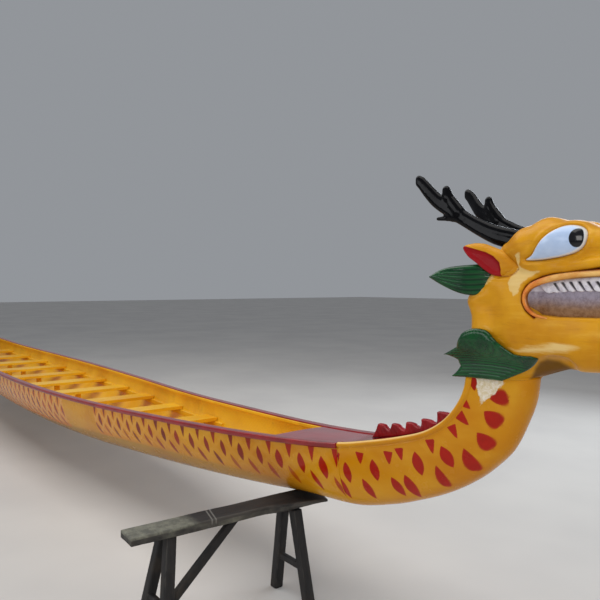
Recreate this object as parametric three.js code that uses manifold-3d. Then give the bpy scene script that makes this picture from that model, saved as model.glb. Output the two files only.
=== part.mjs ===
// A full-size dragon boat standing on two wooden trestles.
// Millimetres, +X to the bow, +Y to port, +Z up. The origin is on the floor, amidships on the centreline.
import * as THREE from 'three';
import * as BufferGeometryUtils from 'three/addons/utils/BufferGeometryUtils.js';
import Module from 'manifold-3d';

const wasm = await Module();
wasm.setup();

// Driving dimensions
const GAP = 0.3;              // clearance between neighbouring pieces
const SEAM_X = 5370;          // joint between the main hull and each end piece
const HULL_POWER = 2.2;       // exponent of the rounded hull section
const SECTION_STEPS = 12;     // facets from gunwale to gunwale under the keel
const SHELL_THICK = 14;       // laminate of the main hull
const LIP_WIDE = 46;          // turned-in flange along the gunwale
const LIP_HIGH = 22;
const RAIL_PROUD = 13;        // rail outside the hull side
const RAIL_DEEP = 27;
const RAIL_CAP = 8;           // rail thickness on top of the flange
const RAIL_EDGE = 4;          // chamfer and setback of the rail's edges
const DECK_THICK = 12;
const DECK_SINK = 4;          // deck surface below the bead of the end pieces
const NECK_TOP = 1345;        // joint between the neck and the head, or the tail
const SEAT_PITCH = 720;
const SEAT_PAIRS = 5;         // seat planks on each side of midship
const SEAT_WIDE = 220;
const SEAT_THICK = 26;
const SEAT_DROP = 132;        // gunwale to seat surface
const LEDGE_WIDE = 46;
const LEDGE_HIGH = 46;
const LEDGE_PAST = 130;       // ledge past the last seat
const KEELSON_WIDE = 70;
const KEELSON_HIGH = 30;
const KEELSON_REACH = 4700;
const POST_SIDE = 46;
const SHELL_JOINTS = [1.5 * SEAT_PITCH, 4.5 * SEAT_PITCH];
const KEELSON_JOINT = 3 * SEAT_PITCH;
const CREST_THICK = 34;
const LEG_SIDE = 52;
const PLANK_THICK = 42;
const SPARE = 60;             // how far an untrimmed piece reaches past the edge that trims it
const FAR = 8000;             // past every side of the boat

// Materials: colour, roughness, metalness
const FINISH = {
  yellow: [0xe9ad1c, 0.25, 0.0],
  inside: [0xe6b02e, 0.35, 0.0],
  red: [0xa3121c, 0.28, 0.0],
  mauve: [0xa8343c, 0.22, 0.0],
  lip: [0xd9751f, 0.3, 0.0],
  green: [0x0f5a2c, 0.22, 0.0],
  black: [0x0b0b10, 0.12, 0.0],
  white: [0xe6eaf2, 0.2, 0.0],
  mouth: [0x8d8494, 0.35, 0.0],
  timber: [0x2e2b28, 0.85, 0.0],
};

// Half-breadth at the gunwale, height of the gunwale and height of the keel, midship to seam
const HULL_ROWS = [
  // x, half, gunwale, keel
  [0, 558, 741, 265],
  [800, 548, 742, 272],
  [1600, 516, 748, 292],
  [2400, 456, 761, 330],
  [3100, 393, 784, 382],
  [3700, 338, 812, 432],
  [4200, 289, 838, 480],
  [4650, 240, 866, 530],
  [5020, 199, 897, 577],
  [SEAM_X, 166, 937, 608],
];

// End piece: back edge (gunwale, then nape), front edge (keel, then stem) and half-breadth
const NECK_ROWS = [
  // backX, backZ, frontX, frontZ, half
  [SEAM_X + GAP, 937, SEAM_X + GAP, 608, 166],
  [5600, 990, 5592, 669, 152],
  [5763, 1036, 5767, 736, 141],
  [5886, 1080, 5927, 811, 133],
  [5972, 1133, 6055, 891, 127],
  [6026, 1188, 6146, 966, 122],
  [6060, 1240, 6224, 1050, 118],
  [6078, 1285, 6290, 1180, 115],
  [6084, 1320, 6318, 1260, 113],
  [6086, NECK_TOP, 6330, NECK_TOP, 112],
];

const boat = new THREE.Group();
boat.name = 'dragon_boat';

function addMesh(name, geometry, finish, parent = boat) {
  const [color, roughness, metalness] = FINISH[finish];
  const mesh = new THREE.Mesh(geometry, new THREE.MeshStandardMaterial({ color, roughness, metalness }));
  mesh.name = name;
  parent.add(mesh);
  return mesh;
}

// Boolean helpers
function toManifold(geometry) {
  const clean = geometry.clone();
  clean.deleteAttribute('normal');
  clean.deleteAttribute('uv');
  const merged = BufferGeometryUtils.mergeVertices(clean, 1e-3);
  return new wasm.Manifold(new wasm.Mesh({
    numProp: 3,
    vertProperties: new Float32Array(merged.attributes.position.array),
    triVerts: new Uint32Array(merged.index.array),
  }));
}

function toGeometry(solid) {
  const mesh = solid.getMesh();
  const geometry = new THREE.BufferGeometry();
  geometry.setAttribute('position', new THREE.BufferAttribute(new Float32Array(mesh.vertProperties), 3));
  geometry.setIndex(new THREE.BufferAttribute(new Uint32Array(mesh.triVerts), 1));
  geometry.computeVertexNormals();
  return geometry;
}

function join(...geometries) {
  return toGeometry(geometries.map(toManifold).reduce((sum, next) => sum.add(next)));
}

function cut(geometry, ...tools) {
  const start = toManifold(geometry);
  return toGeometry(tools.map(toManifold).reduce((rest, tool) => rest.subtract(tool), start));
}

function common(geometry, other) {
  return toGeometry(toManifold(geometry).intersect(toManifold(other)));
}

function box(low, high) {
  const geometry = new THREE.BoxGeometry(high[0] - low[0], high[1] - low[1], high[2] - low[2]);
  geometry.translate((low[0] + high[0]) / 2, (low[1] + high[1]) / 2, (low[2] + high[2]) / 2);
  return geometry;
}

// A block between two heights, wider and longer than the boat
function slab(low, high) {
  return box([-FAR, -FAR, low], [FAR, FAR, high]);
}

function mirrorX(geometry) {
  return mirrored(geometry, 0);
}

function mirrorY(geometry) {
  return mirrored(geometry, 1);
}

// A mirrored copy with its faces turned back outwards
function mirrored(geometry, axis) {
  const copy = geometry.index ? geometry.toNonIndexed() : geometry.clone();
  const place = copy.attributes.position;
  for (let i = 0; i < place.count; i += 3) {
    const corner = [0, 1, 2].map((k) => [place.getX(i + k), place.getY(i + k), place.getZ(i + k)]);
    corner.forEach((point) => { point[axis] = -point[axis]; });
    [corner[0], corner[2], corner[1]].forEach((point, k) => place.setXYZ(i + k, ...point));
  }
  copy.computeVertexNormals();
  return copy;
}

const span = ([ax, ay, az], [bx, by, bz]) => Math.hypot(ax - bx, ay - by, az - bz);

// A closed body through rings of points. Each ring holds [x, y, z] points in the same order, and
// faces holds the first and last ring in two dimensions, for the end faces. Each facet is split
// along its shorter diagonal, so that port and starboard match.
function loft(rings, faces) {
  const count = rings[0].length;
  const index = [];
  for (let r = 0; r < rings.length - 1; r += 1) {
    for (let k = 0; k < count; k += 1) {
      const next = (k + 1) % count;
      const [a, b] = [r * count + k, r * count + next];
      const [c, d] = [b + count, a + count];
      const first = span(rings[r][k], rings[r + 1][next]) <= span(rings[r][next], rings[r + 1][k]);
      index.push(...(first ? [a, b, c, a, c, d] : [a, b, d, b, c, d]));
    }
  }
  [0, rings.length - 1].forEach((r, end) => {
    const outline = faces[end].map(([u, v]) => new THREE.Vector2(u, v));
    const turn = THREE.ShapeUtils.area(outline) > 0;
    THREE.ShapeUtils.triangulateShape(outline, []).forEach((corners) => {
      const same = (THREE.ShapeUtils.area(corners.map((k) => outline[k])) > 0) === turn;
      const [a, b, c] = corners.map((k) => r * count + k);
      index.push(...(same === (end === 1) ? [a, b, c] : [a, c, b]));
    });
  });
  const geometry = new THREE.BufferGeometry();
  geometry.setAttribute('position', new THREE.Float32BufferAttribute(rings.flat(2), 3));
  geometry.setIndex(index);
  return facingOut(geometry);
}

// First and last ring seen along the boat, as [y, z]
function endFaces(rings) {
  return [rings[0], rings[rings.length - 1]].map((ring) => ring.map(([, y, z]) => [y, z]));
}

function signedVolume(geometry) {
  const place = geometry.attributes.position;
  const [a, b, c] = [new THREE.Vector3(), new THREE.Vector3(), new THREE.Vector3()];
  let sum = 0;
  for (let i = 0; i < geometry.index.count; i += 3) {
    a.fromBufferAttribute(place, geometry.index.getX(i));
    b.fromBufferAttribute(place, geometry.index.getX(i + 1));
    c.fromBufferAttribute(place, geometry.index.getX(i + 2));
    sum += a.dot(b.cross(c)) / 6;
  }
  return sum;
}

function facingOut(geometry) {
  if (signedVolume(geometry) < 0) {
    const index = Array.from(geometry.index.array);
    for (let i = 0; i < index.length; i += 3) [index[i + 1], index[i + 2]] = [index[i + 2], index[i + 1]];
    geometry.setIndex(index);
  }
  geometry.computeVertexNormals();
  return geometry;
}

// Hull lines
const lerp = (a, b, t) => a + (b - a) * t;

// Half-breadth, gunwale and keel between two rows
function rowAt(rows, x) {
  const after = Math.max(1, rows.findIndex((row) => row.x >= x));
  const [a, b] = [rows[after - 1], rows[after]];
  const t = (x - a.x) / (b.x - a.x);
  return {
    x,
    half: lerp(a.half, b.half, t),
    gunwale: lerp(a.gunwale, b.gunwale, t),
    keel: lerp(a.keel, b.keel, t),
  };
}

// Stations from the stern seam to the bow seam, with one at each joint of the shell's lengths
function hullStations() {
  const rows = HULL_ROWS.map(([x, half, gunwale, keel]) => ({ x, half, gunwale, keel }));
  const fore = [...rows, ...SHELL_JOINTS.map((x) => rowAt(rows, x))].sort((a, b) => a.x - b.x);
  const aft = fore.slice(1).reverse().map((row) => ({ ...row, x: -row.x }));
  return [...aft, ...fore];
}

const STATIONS = hullStations();
const hullAt = (x) => rowAt(STATIONS, x);

// Section from the starboard gunwale under the keel to the port gunwale, as [y, down from the gunwale]
function roundSection(half, depth) {
  return Array.from({ length: SECTION_STEPS + 1 }, (_, k) => {
    const angle = (Math.PI * k) / SECTION_STEPS;
    const across = Math.abs(Math.cos(angle)) ** (2 / HULL_POWER) * Math.sign(Math.cos(angle));
    const down = Math.abs(Math.sin(angle)) ** (2 / HULL_POWER);
    return [-half * across, -depth * down];
  });
}

function hullRing({ x, half, gunwale, keel }) {
  const top = gunwale - RAIL_CAP - GAP;
  const outer = roundSection(half, top - keel);
  const inner = roundSection(half - SHELL_THICK, top - keel - SHELL_THICK).reverse();
  inner[0][1] = -LIP_HIGH;
  inner[inner.length - 1][1] = -LIP_HIGH;
  const lip = half - LIP_WIDE;
  const ring = [...outer, [lip, 0], [lip, -LIP_HIGH], ...inner, [-lip, -LIP_HIGH], [-lip, 0]];
  return ring.map(([y, down]) => [x, y, top + down]);
}

// The space inside the shell, drawn in by a clearance, for cutting what lies in the hull
function cavity(clear) {
  const rings = STATIONS.filter((row) => Math.abs(row.x) < SEAM_X).map(({ x, half, gunwale, keel }) => {
    const top = gunwale - RAIL_CAP - GAP;
    const shrink = SHELL_THICK + clear;
    return roundSection(half - shrink, top - keel - shrink).reverse()
      .map(([y, down]) => [x, y, top + Math.min(-LIP_HIGH - clear, down)]);
  });
  return loft(rings, endFaces(rings));
}

// The shell's lengths meet under seat planks, and the outermost ones end at the seams
const [INNER_JOINT, OUTER_JOINT] = SHELL_JOINTS;
const SECTIONS = [
  // name, aft end, fore end
  ['hull_stern_length', -SEAM_X, -OUTER_JOINT],
  ['hull_aft_length', -OUTER_JOINT, -INNER_JOINT],
  ['hull_middle_length', -INNER_JOINT, INNER_JOINT],
  ['hull_fore_length', INNER_JOINT, OUTER_JOINT],
  ['hull_bow_length', OUTER_JOINT, SEAM_X],
];

// Ledge for the seat planks, moulded to the shell on both sides
function seatLedges(from, to) {
  const reach = (SEAT_PAIRS - 0.5) * SEAT_PITCH + SEAT_WIDE / 2 + LEDGE_PAST;
  const [low, high] = [Math.max(from, -reach), Math.min(to, reach)];
  const between = STATIONS.map((row) => row.x).filter((x) => x > low && x < high);
  const rings = [low, ...between, high].map(hullAt).map(({ x, half, gunwale }) => {
    const top = gunwale - SEAT_DROP - SEAT_THICK - GAP;
    const inner = half - SHELL_THICK - LEDGE_WIDE;
    const outer = half + SPARE;
    return [[x, inner, top], [x, outer, top], [x, outer, top - LEDGE_HIGH], [x, inner, top - LEDGE_HIGH]];
  });
  const port = common(loft(rings, endFaces(rings)), cavity(-SHELL_THICK / 2));
  return [port, mirrorY(port)];
}

function buildHull() {
  SECTIONS.forEach(([name, aft, fore]) => {
    const [from, to] = [aft + GAP / 2, fore - GAP / 2];
    const between = STATIONS.filter(({ x }) => x > from && x < to);
    const rings = [hullAt(from), ...between, hullAt(to)].map(hullRing);
    addMesh(name, join(loft(rings, endFaces(rings)), ...seatLedges(from, to)), 'yellow');
  });
}

// Gunwale rail: a cap on the flange and a skirt outside it
function railRing({ x, half, gunwale, keel }) {
  const seat = gunwale - RAIL_CAP;
  const [, [across, down]] = roundSection(half, seat - keel);
  const skirt = lerp(half, -across, -RAIL_DEEP / down) + GAP;
  const section = [
    [half - LIP_WIDE + RAIL_EDGE, seat],
    [half + GAP, seat],
    [skirt, seat - RAIL_DEEP],
    [skirt + RAIL_PROUD - RAIL_EDGE, seat - RAIL_DEEP],
    [half + RAIL_PROUD, seat - RAIL_DEEP + RAIL_EDGE],
    [half + RAIL_PROUD, seat],
    [half + RAIL_PROUD - RAIL_EDGE, gunwale],
    [half - LIP_WIDE + RAIL_EDGE, gunwale],
  ];
  return section.map(([y, z]) => [x, y, z]);
}

function buildRails() {
  const rings = STATIONS.map(railRing);
  const port = loft(rings, endFaces(rings));
  addMesh('gunwale_rail_port', port, 'red');
  addMesh('gunwale_rail_starboard', mirrorY(port), 'red');
}

// End pieces: solid, with a shallow recess for the deck between two beads
function neckFrame([backX, backZ, frontX, frontZ, half]) {
  const depth = Math.hypot(frontX - backX, frontZ - backZ);
  const dirX = (frontX - backX) / depth;
  const dirZ = (frontZ - backZ) / depth;
  const place = (y, down) => [backX - dirX * down, y, backZ - dirZ * down];
  return { half, depth, place };
}

const BEAD_WIDE = 30;
const RECESS = DECK_THICK + DECK_SINK + GAP;

function neckSection({ half, depth }) {
  const inner = half - BEAD_WIDE;
  return [...roundSection(half, depth), [inner, 0], [inner, -RECESS], [-inner, -RECESS], [-inner, 0]];
}

function endPiece() {
  const frames = NECK_ROWS.map(neckFrame);
  const rings = frames.map((frame) => neckSection(frame).map(([y, down]) => frame.place(y, down)));
  return loft(rings, [frames[0], frames[frames.length - 1]].map(neckSection));
}

function buildEnds() {
  const bow = endPiece();
  addMesh('bow_piece', bow, 'yellow');
  addMesh('stern_piece', mirrorX(bow), 'yellow');
}

// Deck panel: lies between the flanges on the hull and in the recess on the end piece
const DECK_AFT = 4860;

function deckPanel() {
  const seamHalf = hullAt(SEAM_X).half - LIP_WIDE - GAP;
  const hullPart = [DECK_AFT, ...HULL_ROWS.map(([x]) => x).filter((x) => x > DECK_AFT)].map((x) => {
    const row = hullAt(x);
    const half = row.half - LIP_WIDE - GAP;
    const top = row.gunwale - DECK_SINK;
    return [[x, -half, top], [x, half, top], [x, half, top - DECK_THICK], [x, -half, top - DECK_THICK]];
  });
  const neckSections = NECK_ROWS.slice(1).map((row) => {
    const half = Math.min(seamHalf, neckFrame(row).half - BEAD_WIDE - GAP);
    return [[-half, -DECK_SINK], [half, -DECK_SINK], [half, GAP - RECESS], [-half, GAP - RECESS]];
  });
  const neckPart = NECK_ROWS.slice(1).map(neckFrame).map((frame, k) => (
    neckSections[k].map(([y, down]) => frame.place(y, down))
  ));
  const rings = [...hullPart, ...neckPart];
  return loft(rings, [endFaces(rings)[0], neckSections[neckSections.length - 1]]);
}

function buildDecks() {
  const panel = deckPanel();
  addMesh('foredeck', panel, 'mauve');
  addMesh('aft_deck', mirrorX(panel), 'mauve');
}

// Inside the hull: keelson with posts, and seat planks, all trimmed to the shell
function seatPlaces() {
  const fore = Array.from({ length: SEAT_PAIRS }, (_, k) => (k + 0.5) * SEAT_PITCH);
  return [...fore.slice().reverse(), ...fore.map((x) => -x)];
}

function seatTop(x) {
  return hullAt(x).gunwale - SEAT_DROP;
}

function seatSlope(x) {
  return (seatTop(x + SEAT_WIDE / 2) - seatTop(x - SEAT_WIDE / 2)) / SEAT_WIDE;
}

// The keelson's lengths are butted midway between two posts
const KEELSON_SECTIONS = [
  // name, aft end, fore end
  ['keelson_aft', -KEELSON_REACH, -KEELSON_JOINT],
  ['keelson_middle', -KEELSON_JOINT, KEELSON_JOINT],
  ['keelson_fore', KEELSON_JOINT, KEELSON_REACH],
];

function keelsonRing({ x, keel }) {
  const z = keel + SHELL_THICK + KEELSON_HIGH;
  const half = KEELSON_WIDE / 2;
  return [[x, -half, z], [x, half, z], [x, half, z - SPARE], [x, -half, z - SPARE]];
}

function seatPost(x) {
  const side = POST_SIDE / 2;
  const top = seatTop(x) - SEAT_THICK - GAP - Math.abs(seatSlope(x)) * side;
  return box([x - side, -side, hullAt(x).keel], [x + side, side, top]);
}

function buildKeelson(room) {
  KEELSON_SECTIONS.forEach(([name, aft, fore]) => {
    const [from, to] = [aft + GAP / 2, fore - GAP / 2];
    const between = STATIONS.filter(({ x }) => x > from && x < to);
    const rings = [hullAt(from), ...between, hullAt(to)].map(keelsonRing);
    const posts = seatPlaces().filter((x) => x > from && x < to).map(seatPost);
    addMesh(name, common(join(loft(rings, endFaces(rings)), ...posts), room), 'inside');
  });
}

function buildSeats(room) {
  seatPlaces().forEach((x, k) => {
    const half = hullAt(x).half + SPARE;
    const ring = [-SEAT_WIDE / 2, SEAT_WIDE / 2].map((along) => {
      const z = seatTop(x + along);
      return [
        [x + along, -half, z], [x + along, half, z],
        [x + along, half, z - SEAT_THICK], [x + along, -half, z - SEAT_THICK],
      ];
    });
    addMesh(`seat_${String(k + 1).padStart(2, '0')}`, common(loft(ring, endFaces(ring)), room), 'inside');
  });
}

// Crest: one board with five flames along the nape, standing on the deck
const CREST_ROWS = [
  // notch behind the flame x, z; flat top from x to x, and its z
  [5458, 958, 5497, 5532, 1031],
  [5568, 1003, 5583, 5622, 1047],
  [5667, 1021, 5672, 5720, 1069],
  [5762, 1050, 5764, 5822, 1098],
  [5855, 1088, 5858, 5915, 1147],
];
const CREST_END = 5935;

function deckLine(x) {
  const after = Math.max(1, NECK_ROWS.findIndex((row) => row[0] >= x));
  const [a, b] = [NECK_ROWS[after - 1], NECK_ROWS[after]];
  return lerp(a[1], b[1], (x - a[0]) / (b[0] - a[0])) - DECK_SINK;
}

function crestBoard() {
  const foot = (x) => [x, deckLine(x) + GAP];
  const upper = CREST_ROWS.flatMap(([x, z, aft, fore, top]) => [[x, z], [aft, top], [fore, top]]);
  const bends = NECK_ROWS.map(([x]) => x).filter((x) => x > CREST_ROWS[0][0] && x < CREST_END).reverse();
  const lower = [CREST_END, ...bends, CREST_ROWS[0][0]];
  const outline = [...upper, ...lower.map(foot)];
  const shape = new THREE.Shape(outline.map(([x, z]) => new THREE.Vector2(x, z)));
  const geometry = new THREE.ExtrudeGeometry(shape, { depth: CREST_THICK, bevelEnabled: false });
  geometry.translate(0, 0, -CREST_THICK / 2);
  geometry.rotateX(Math.PI / 2);
  return geometry;
}

function buildCrests() {
  const board = crestBoard();
  addMesh('bow_crest', board, 'red');
  addMesh('stern_crest', mirrorX(board), 'red');
}

// Trestle: plank, two leg pairs with a rung each, and a brace; positions are along and across the boat
const KEEL_REST = hullAt(4850).keel - GAP;
const PLANK_OUTLINE = [
  // x, y
  [4836, -1028],
  [4970, -1035],
  [4992, -319],
  [5086, 12],
  [4985, 50],
  [4850, 60],
];
const LEG_ROWS = [
  // name, y at the top, y at the floor, x at the top (aft, fore), x at the floor (aft, fore)
  ['far_legs', -145, -100, 4901, 5005, 4771, 5070],
  ['near_legs', -830, -925, 4872, 4940, 4800, 5075],
];
const RUNG_HEIGHT = 205;
const RUNG_SIDE = 32;
const BRACE_TOP = [4915, -452];
const BRACE_FOOT = [4966, -843]; // at the height of the near rung, against whose side it ends
const BRACE_SIDE = 40;

// A square timber from one point to another, with spare length past both
function timber(from, to, side, spare) {
  const [start, end] = [new THREE.Vector3(...from), new THREE.Vector3(...to)];
  const length = start.distanceTo(end);
  const geometry = new THREE.BoxGeometry(side, side, length + 2 * spare);
  const along = end.clone().sub(start).divideScalar(length);
  geometry.applyQuaternion(new THREE.Quaternion().setFromUnitVectors(new THREE.Vector3(0, 0, 1), along));
  geometry.translate(...start.add(end).multiplyScalar(0.5).toArray());
  return geometry;
}

function legPair([, topY, footY, aftTop, foreTop, aftFoot, foreFoot], under) {
  const leg = (topX, footX) => timber([footX, footY, 0], [topX, topY, under], LEG_SIDE, SPARE);
  const rise = RUNG_HEIGHT / under;
  const rungY = lerp(footY, topY, rise);
  const rung = timber(
    [lerp(aftFoot, aftTop, rise), rungY, RUNG_HEIGHT],
    [lerp(foreFoot, foreTop, rise), rungY, RUNG_HEIGHT],
    RUNG_SIDE, 0,
  );
  return cut(join(leg(aftTop, aftFoot), leg(foreTop, foreFoot), rung), slab(under, FAR), slab(-FAR, 0));
}

function trestlePieces() {
  const under = KEEL_REST - PLANK_THICK - GAP;
  const shape = new THREE.Shape(PLANK_OUTLINE.map(([x, y]) => new THREE.Vector2(x, y)));
  const plank = new THREE.ExtrudeGeometry(shape, { depth: PLANK_THICK, bevelEnabled: false });
  plank.translate(0, 0, KEEL_REST - PLANK_THICK);
  const [, nearTopY, nearFootY] = LEG_ROWS[1];
  const rungSide = lerp(nearFootY, nearTopY, RUNG_HEIGHT / under) + RUNG_SIDE / 2 + GAP;
  const brace = timber([...BRACE_FOOT, RUNG_HEIGHT], [...BRACE_TOP, under], BRACE_SIDE, SPARE);
  return {
    plank,
    ...Object.fromEntries(LEG_ROWS.map((row) => [row[0], legPair(row, under)])),
    brace: cut(brace, slab(under, FAR), box([-FAR, -FAR, -FAR], [FAR, rungSide, FAR])),
  };
}

function buildTrestles() {
  const turn = new THREE.Matrix4().makeRotationZ(Math.PI);
  Object.entries(trestlePieces()).forEach(([name, geometry]) => {
    addMesh(`bow_trestle_${name}`, geometry, 'timber');
    addMesh(`stern_trestle_${name}`, geometry.clone().applyMatrix4(turn), 'timber');
  });
}

// Head: one envelope along the boat, cut by the mouth into the skull and the lower jaw
const PAST_SNOUT = 7300;
const UNDER_JAW = 1300;
const PAST_CHEEK = 400;
const HEAD_ROWS = [
  // x, low, high, half
  [6150, 1560, 1710, 96],
  [6190, 1500, 1760, 132],
  [6250, 1440, 1822, 148],
  [6330, 1405, 1885, 168],
  [6420, 1395, 1922, 176],
  [6510, 1392, 1932, 176],
  [6600, 1392, 1915, 168],
  [6700, 1400, 1862, 152],
  [6800, 1412, 1812, 140],
  [6900, 1430, 1792, 134],
  [7000, 1452, 1798, 130],
  [7080, 1482, 1790, 118],
  [7150, 1530, 1756, 90],
  [7185, 1590, 1712, 46],
];
const HEAD_POWER = 2.5;
const HEAD_STEPS = 20;
const THROAT_ROWS = [
  // z, back x, front x, half
  [NECK_TOP + GAP, 6086, 6330, 112],
  [1430, 6100, 6372, 120],
  [1520, 6122, 6420, 132],
  [1620, 6160, 6430, 140],
];
const MOUTH_ROOF = [[6400, 1697], [6468, 1720], [6652, 1747], [6850, 1738], [7000, 1712], [7080, 1690]];
const MOUTH_FLOOR = [[7080, 1545], [6850, 1570], [6652, 1590], [6419, 1590]];
const MOUTH_CORNER = [[6384, 1618], [6374, 1658]];
const MOUTH_FRONT = [1640, 1545];   // roof and floor of the opening ahead of the snout
const JAW_HINGE = [6440, 1590];
const JAW_TIP = [7030, 1547];
const CHIN_BACK = 40;               // jaw's underside behind its tip

// Closed section in the YZ plane or any like plane, as [across, up] from its middle
function ovalSection(half, high, steps, power) {
  const bulge = (share) => Math.sign(share) * Math.abs(share) ** (2 / power);
  return Array.from({ length: steps }, (_, k) => {
    const angle = (2 * Math.PI * k) / steps;
    return [half * bulge(Math.cos(angle)), high * bulge(Math.sin(angle))];
  });
}

function headEnvelope(grow) {
  const rings = HEAD_ROWS.map(([x, low, high, half], k) => {
    const end = k === 0 ? -grow : k === HEAD_ROWS.length - 1 ? grow : 0;
    return ovalSection(half + grow, (high - low) / 2 + grow, HEAD_STEPS, HEAD_POWER)
      .map(([y, z]) => [x + end, y, (low + high) / 2 + z]);
  });
  return loft(rings, endFaces(rings));
}

function throat(grow) {
  const sections = THROAT_ROWS.map(([, back, front, half]) => (
    ovalSection((front - back) / 2 + grow, half + grow, HEAD_STEPS, HULL_POWER)
  ));
  const rings = THROAT_ROWS.map(([z, back, front], k) => (
    sections[k].map(([x, y]) => [(back + front) / 2 + x, y, z])
  ));
  return loft(rings, [sections[0], sections[sections.length - 1]]);
}

function headWhole(grow) {
  return join(headEnvelope(grow), throat(grow));
}

// Half-breadth of the head's side at a height
function headSide(x, z) {
  const after = Math.max(1, HEAD_ROWS.findIndex((row) => row[0] >= x));
  const [a, b] = [HEAD_ROWS[after - 1], HEAD_ROWS[after]];
  const t = (x - a[0]) / (b[0] - a[0]);
  const [low, high, half] = [1, 2, 3].map((k) => lerp(a[k], b[k], t));
  const level = Math.min(1, Math.abs(z - (low + high) / 2) / ((high - low) / 2));
  return half * (1 - level ** HEAD_POWER) ** (1 / HEAD_POWER);
}

// A plate across the boat from an outline of [x, z] points
function plateAcross(outline, near, far) {
  const shape = new THREE.Shape(outline.map(([x, z]) => new THREE.Vector2(x, z)));
  const geometry = new THREE.ExtrudeGeometry(shape, { depth: far - near, bevelEnabled: false });
  geometry.rotateX(Math.PI / 2);
  geometry.translate(0, far, 0);
  return geometry;
}

// Height of a line of [x, z] points
function lineAt(line, x) {
  const rows = line[0][0] < line[line.length - 1][0] ? line : line.slice().reverse();
  const found = rows.findIndex((row) => row[0] >= x);
  const after = found < 0 ? rows.length - 1 : Math.max(1, found);
  const [a, b] = [rows[after - 1], rows[after]];
  return lerp(a[1], b[1], (x - a[0]) / (b[0] - a[0]));
}

// A tapering limb along a path; each row is x, y, z, radius up, radius across
function limb(rows, steps = 10) {
  const points = rows.map(([x, y, z]) => new THREE.Vector3(x, y, z));
  const side = new THREE.Vector3();
  const sections = rows.map(([, , , up, across]) => ovalSection(across, up, steps, 2));
  const rings = rows.map((_, k) => {
    const [before, after] = [points[Math.max(k - 1, 0)], points[Math.min(k + 1, rows.length - 1)]];
    const along = after.clone().sub(before).normalize();
    side.crossVectors(along, new THREE.Vector3(0, 0, 1)).normalize();
    const rise = new THREE.Vector3().crossVectors(side, along).normalize();
    return sections[k].map(([u, v]) => (
      points[k].clone().addScaledVector(side, u).addScaledVector(rise, v).toArray()
    ));
  });
  return loft(rings, [sections[0], sections[sections.length - 1]]);
}

function buildSkull() {
  const [hingeX, hingeZ] = JAW_HINGE;
  const [tipX, tipZ] = JAW_TIP;
  const [roofFront, floorFront] = MOUTH_FRONT;
  const across = (outline) => plateAcross(outline, -PAST_CHEEK, PAST_CHEEK);
  const floor = MOUTH_FLOOR.slice(0, -1);
  const slot = [
    ...MOUTH_ROOF, [PAST_SNOUT, roofFront], [PAST_SNOUT, floorFront], ...MOUTH_FLOOR, ...MOUTH_CORNER,
  ];
  const chin = [
    [PAST_SNOUT, floorFront], ...floor, [hingeX, hingeZ], [hingeX, UNDER_JAW], [PAST_SNOUT, UNDER_JAW],
  ];
  const jaw = [
    ...floor.filter(([x]) => x <= tipX), [hingeX + GAP, hingeZ], [hingeX + GAP, UNDER_JAW],
    [tipX - CHIN_BACK, UNDER_JAW], [tipX, tipZ],
  ];
  const whole = headWhole(0);
  addMesh('head_skull', cut(whole, across(slot), across(chin)), 'yellow');
  addMesh('lower_jaw', common(whole, across(jaw)), 'yellow');
}

// Teeth and tongue
const UPPER_TEETH = { from: 6425, to: 7060, pitch: 38, deep: 44, direction: -1 };
const LOWER_TEETH = { from: 6750, to: 7010, pitch: 42, deep: 34, direction: 1 };
const TOOTH_ROOT = 0.45;      // share of a tooth's height that the band keeps between two teeth
const TEETH_WIDE = 16;
const TEETH_INSET = 10;
const ARCH_SPAN = [6350, 7120];
const ARCH_SHARE = 0.9;       // tooth arch against the head's breadth
const LINING_SPAN = [6424, 6740];
const TONGUE_HALF = 58;
const TONGUE_TOP = [[6980, 1588], [6930, 1606], [6820, 1602]];
const TONGUE_ROOT_Z = 1612;
const TONGUE_UNDER = [6780, 6900, 6960];

// The solid behind a lip line, grown by the clearance, for seating the teeth and the tongue
function behindLine(line, direction) {
  const edge = line.map(([x, z]) => [x, z + direction * GAP]);
  const back = line.slice().reverse().map(([x, z]) => [x, z - direction * PAST_CHEEK]);
  return plateAcross([...edge, ...back], -PAST_CHEEK, PAST_CHEEK);
}

// An upright prism over a plan outline
function prism(outline) {
  const shape = new THREE.Shape(outline.map(([x, y]) => new THREE.Vector2(x, y)));
  return new THREE.ExtrudeGeometry(shape, { depth: FAR, bevelEnabled: false });
}

// Plan of the tooth arch, drawn in from the head's sides and ending at its front
function archPlan(inset, front) {
  const lips = HEAD_ROWS.filter(([x]) => x > ARCH_SPAN[0] && x < ARCH_SPAN[1]);
  const side = lips.map(([x, , , half]) => [Math.min(x, front), half * ARCH_SHARE - inset]);
  return [...side, ...side.slice().reverse().map(([x, y]) => [x, -y])];
}

// Teeth: a zigzag band along the lips, open inside and closed round the front
function toothBand(line, { from, to, pitch, deep, direction }) {
  const count = Math.round((to - from) / pitch);
  const at = (x, drop) => [x, lineAt(line, x) + direction * (GAP + drop)];
  const places = Array.from({ length: count + 1 }, (_, k) => lerp(from, to, k / count));
  const base = places.map((x) => at(x, 0));
  const edge = places.flatMap((x, k) => {
    const root = at(x, deep * TOOTH_ROOT);
    return k < count ? [root, at((x + places[k + 1]) / 2, deep)] : [root];
  });
  const band = plateAcross([...base, ...edge.reverse()], -PAST_CHEEK, PAST_CHEEK);
  const arch = common(band, prism(archPlan(TEETH_INSET, FAR)));
  const hollow = prism(archPlan(TEETH_INSET + TEETH_WIDE, to - TEETH_WIDE));
  return cut(arch, hollow, behindLine(line, direction));
}

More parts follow.
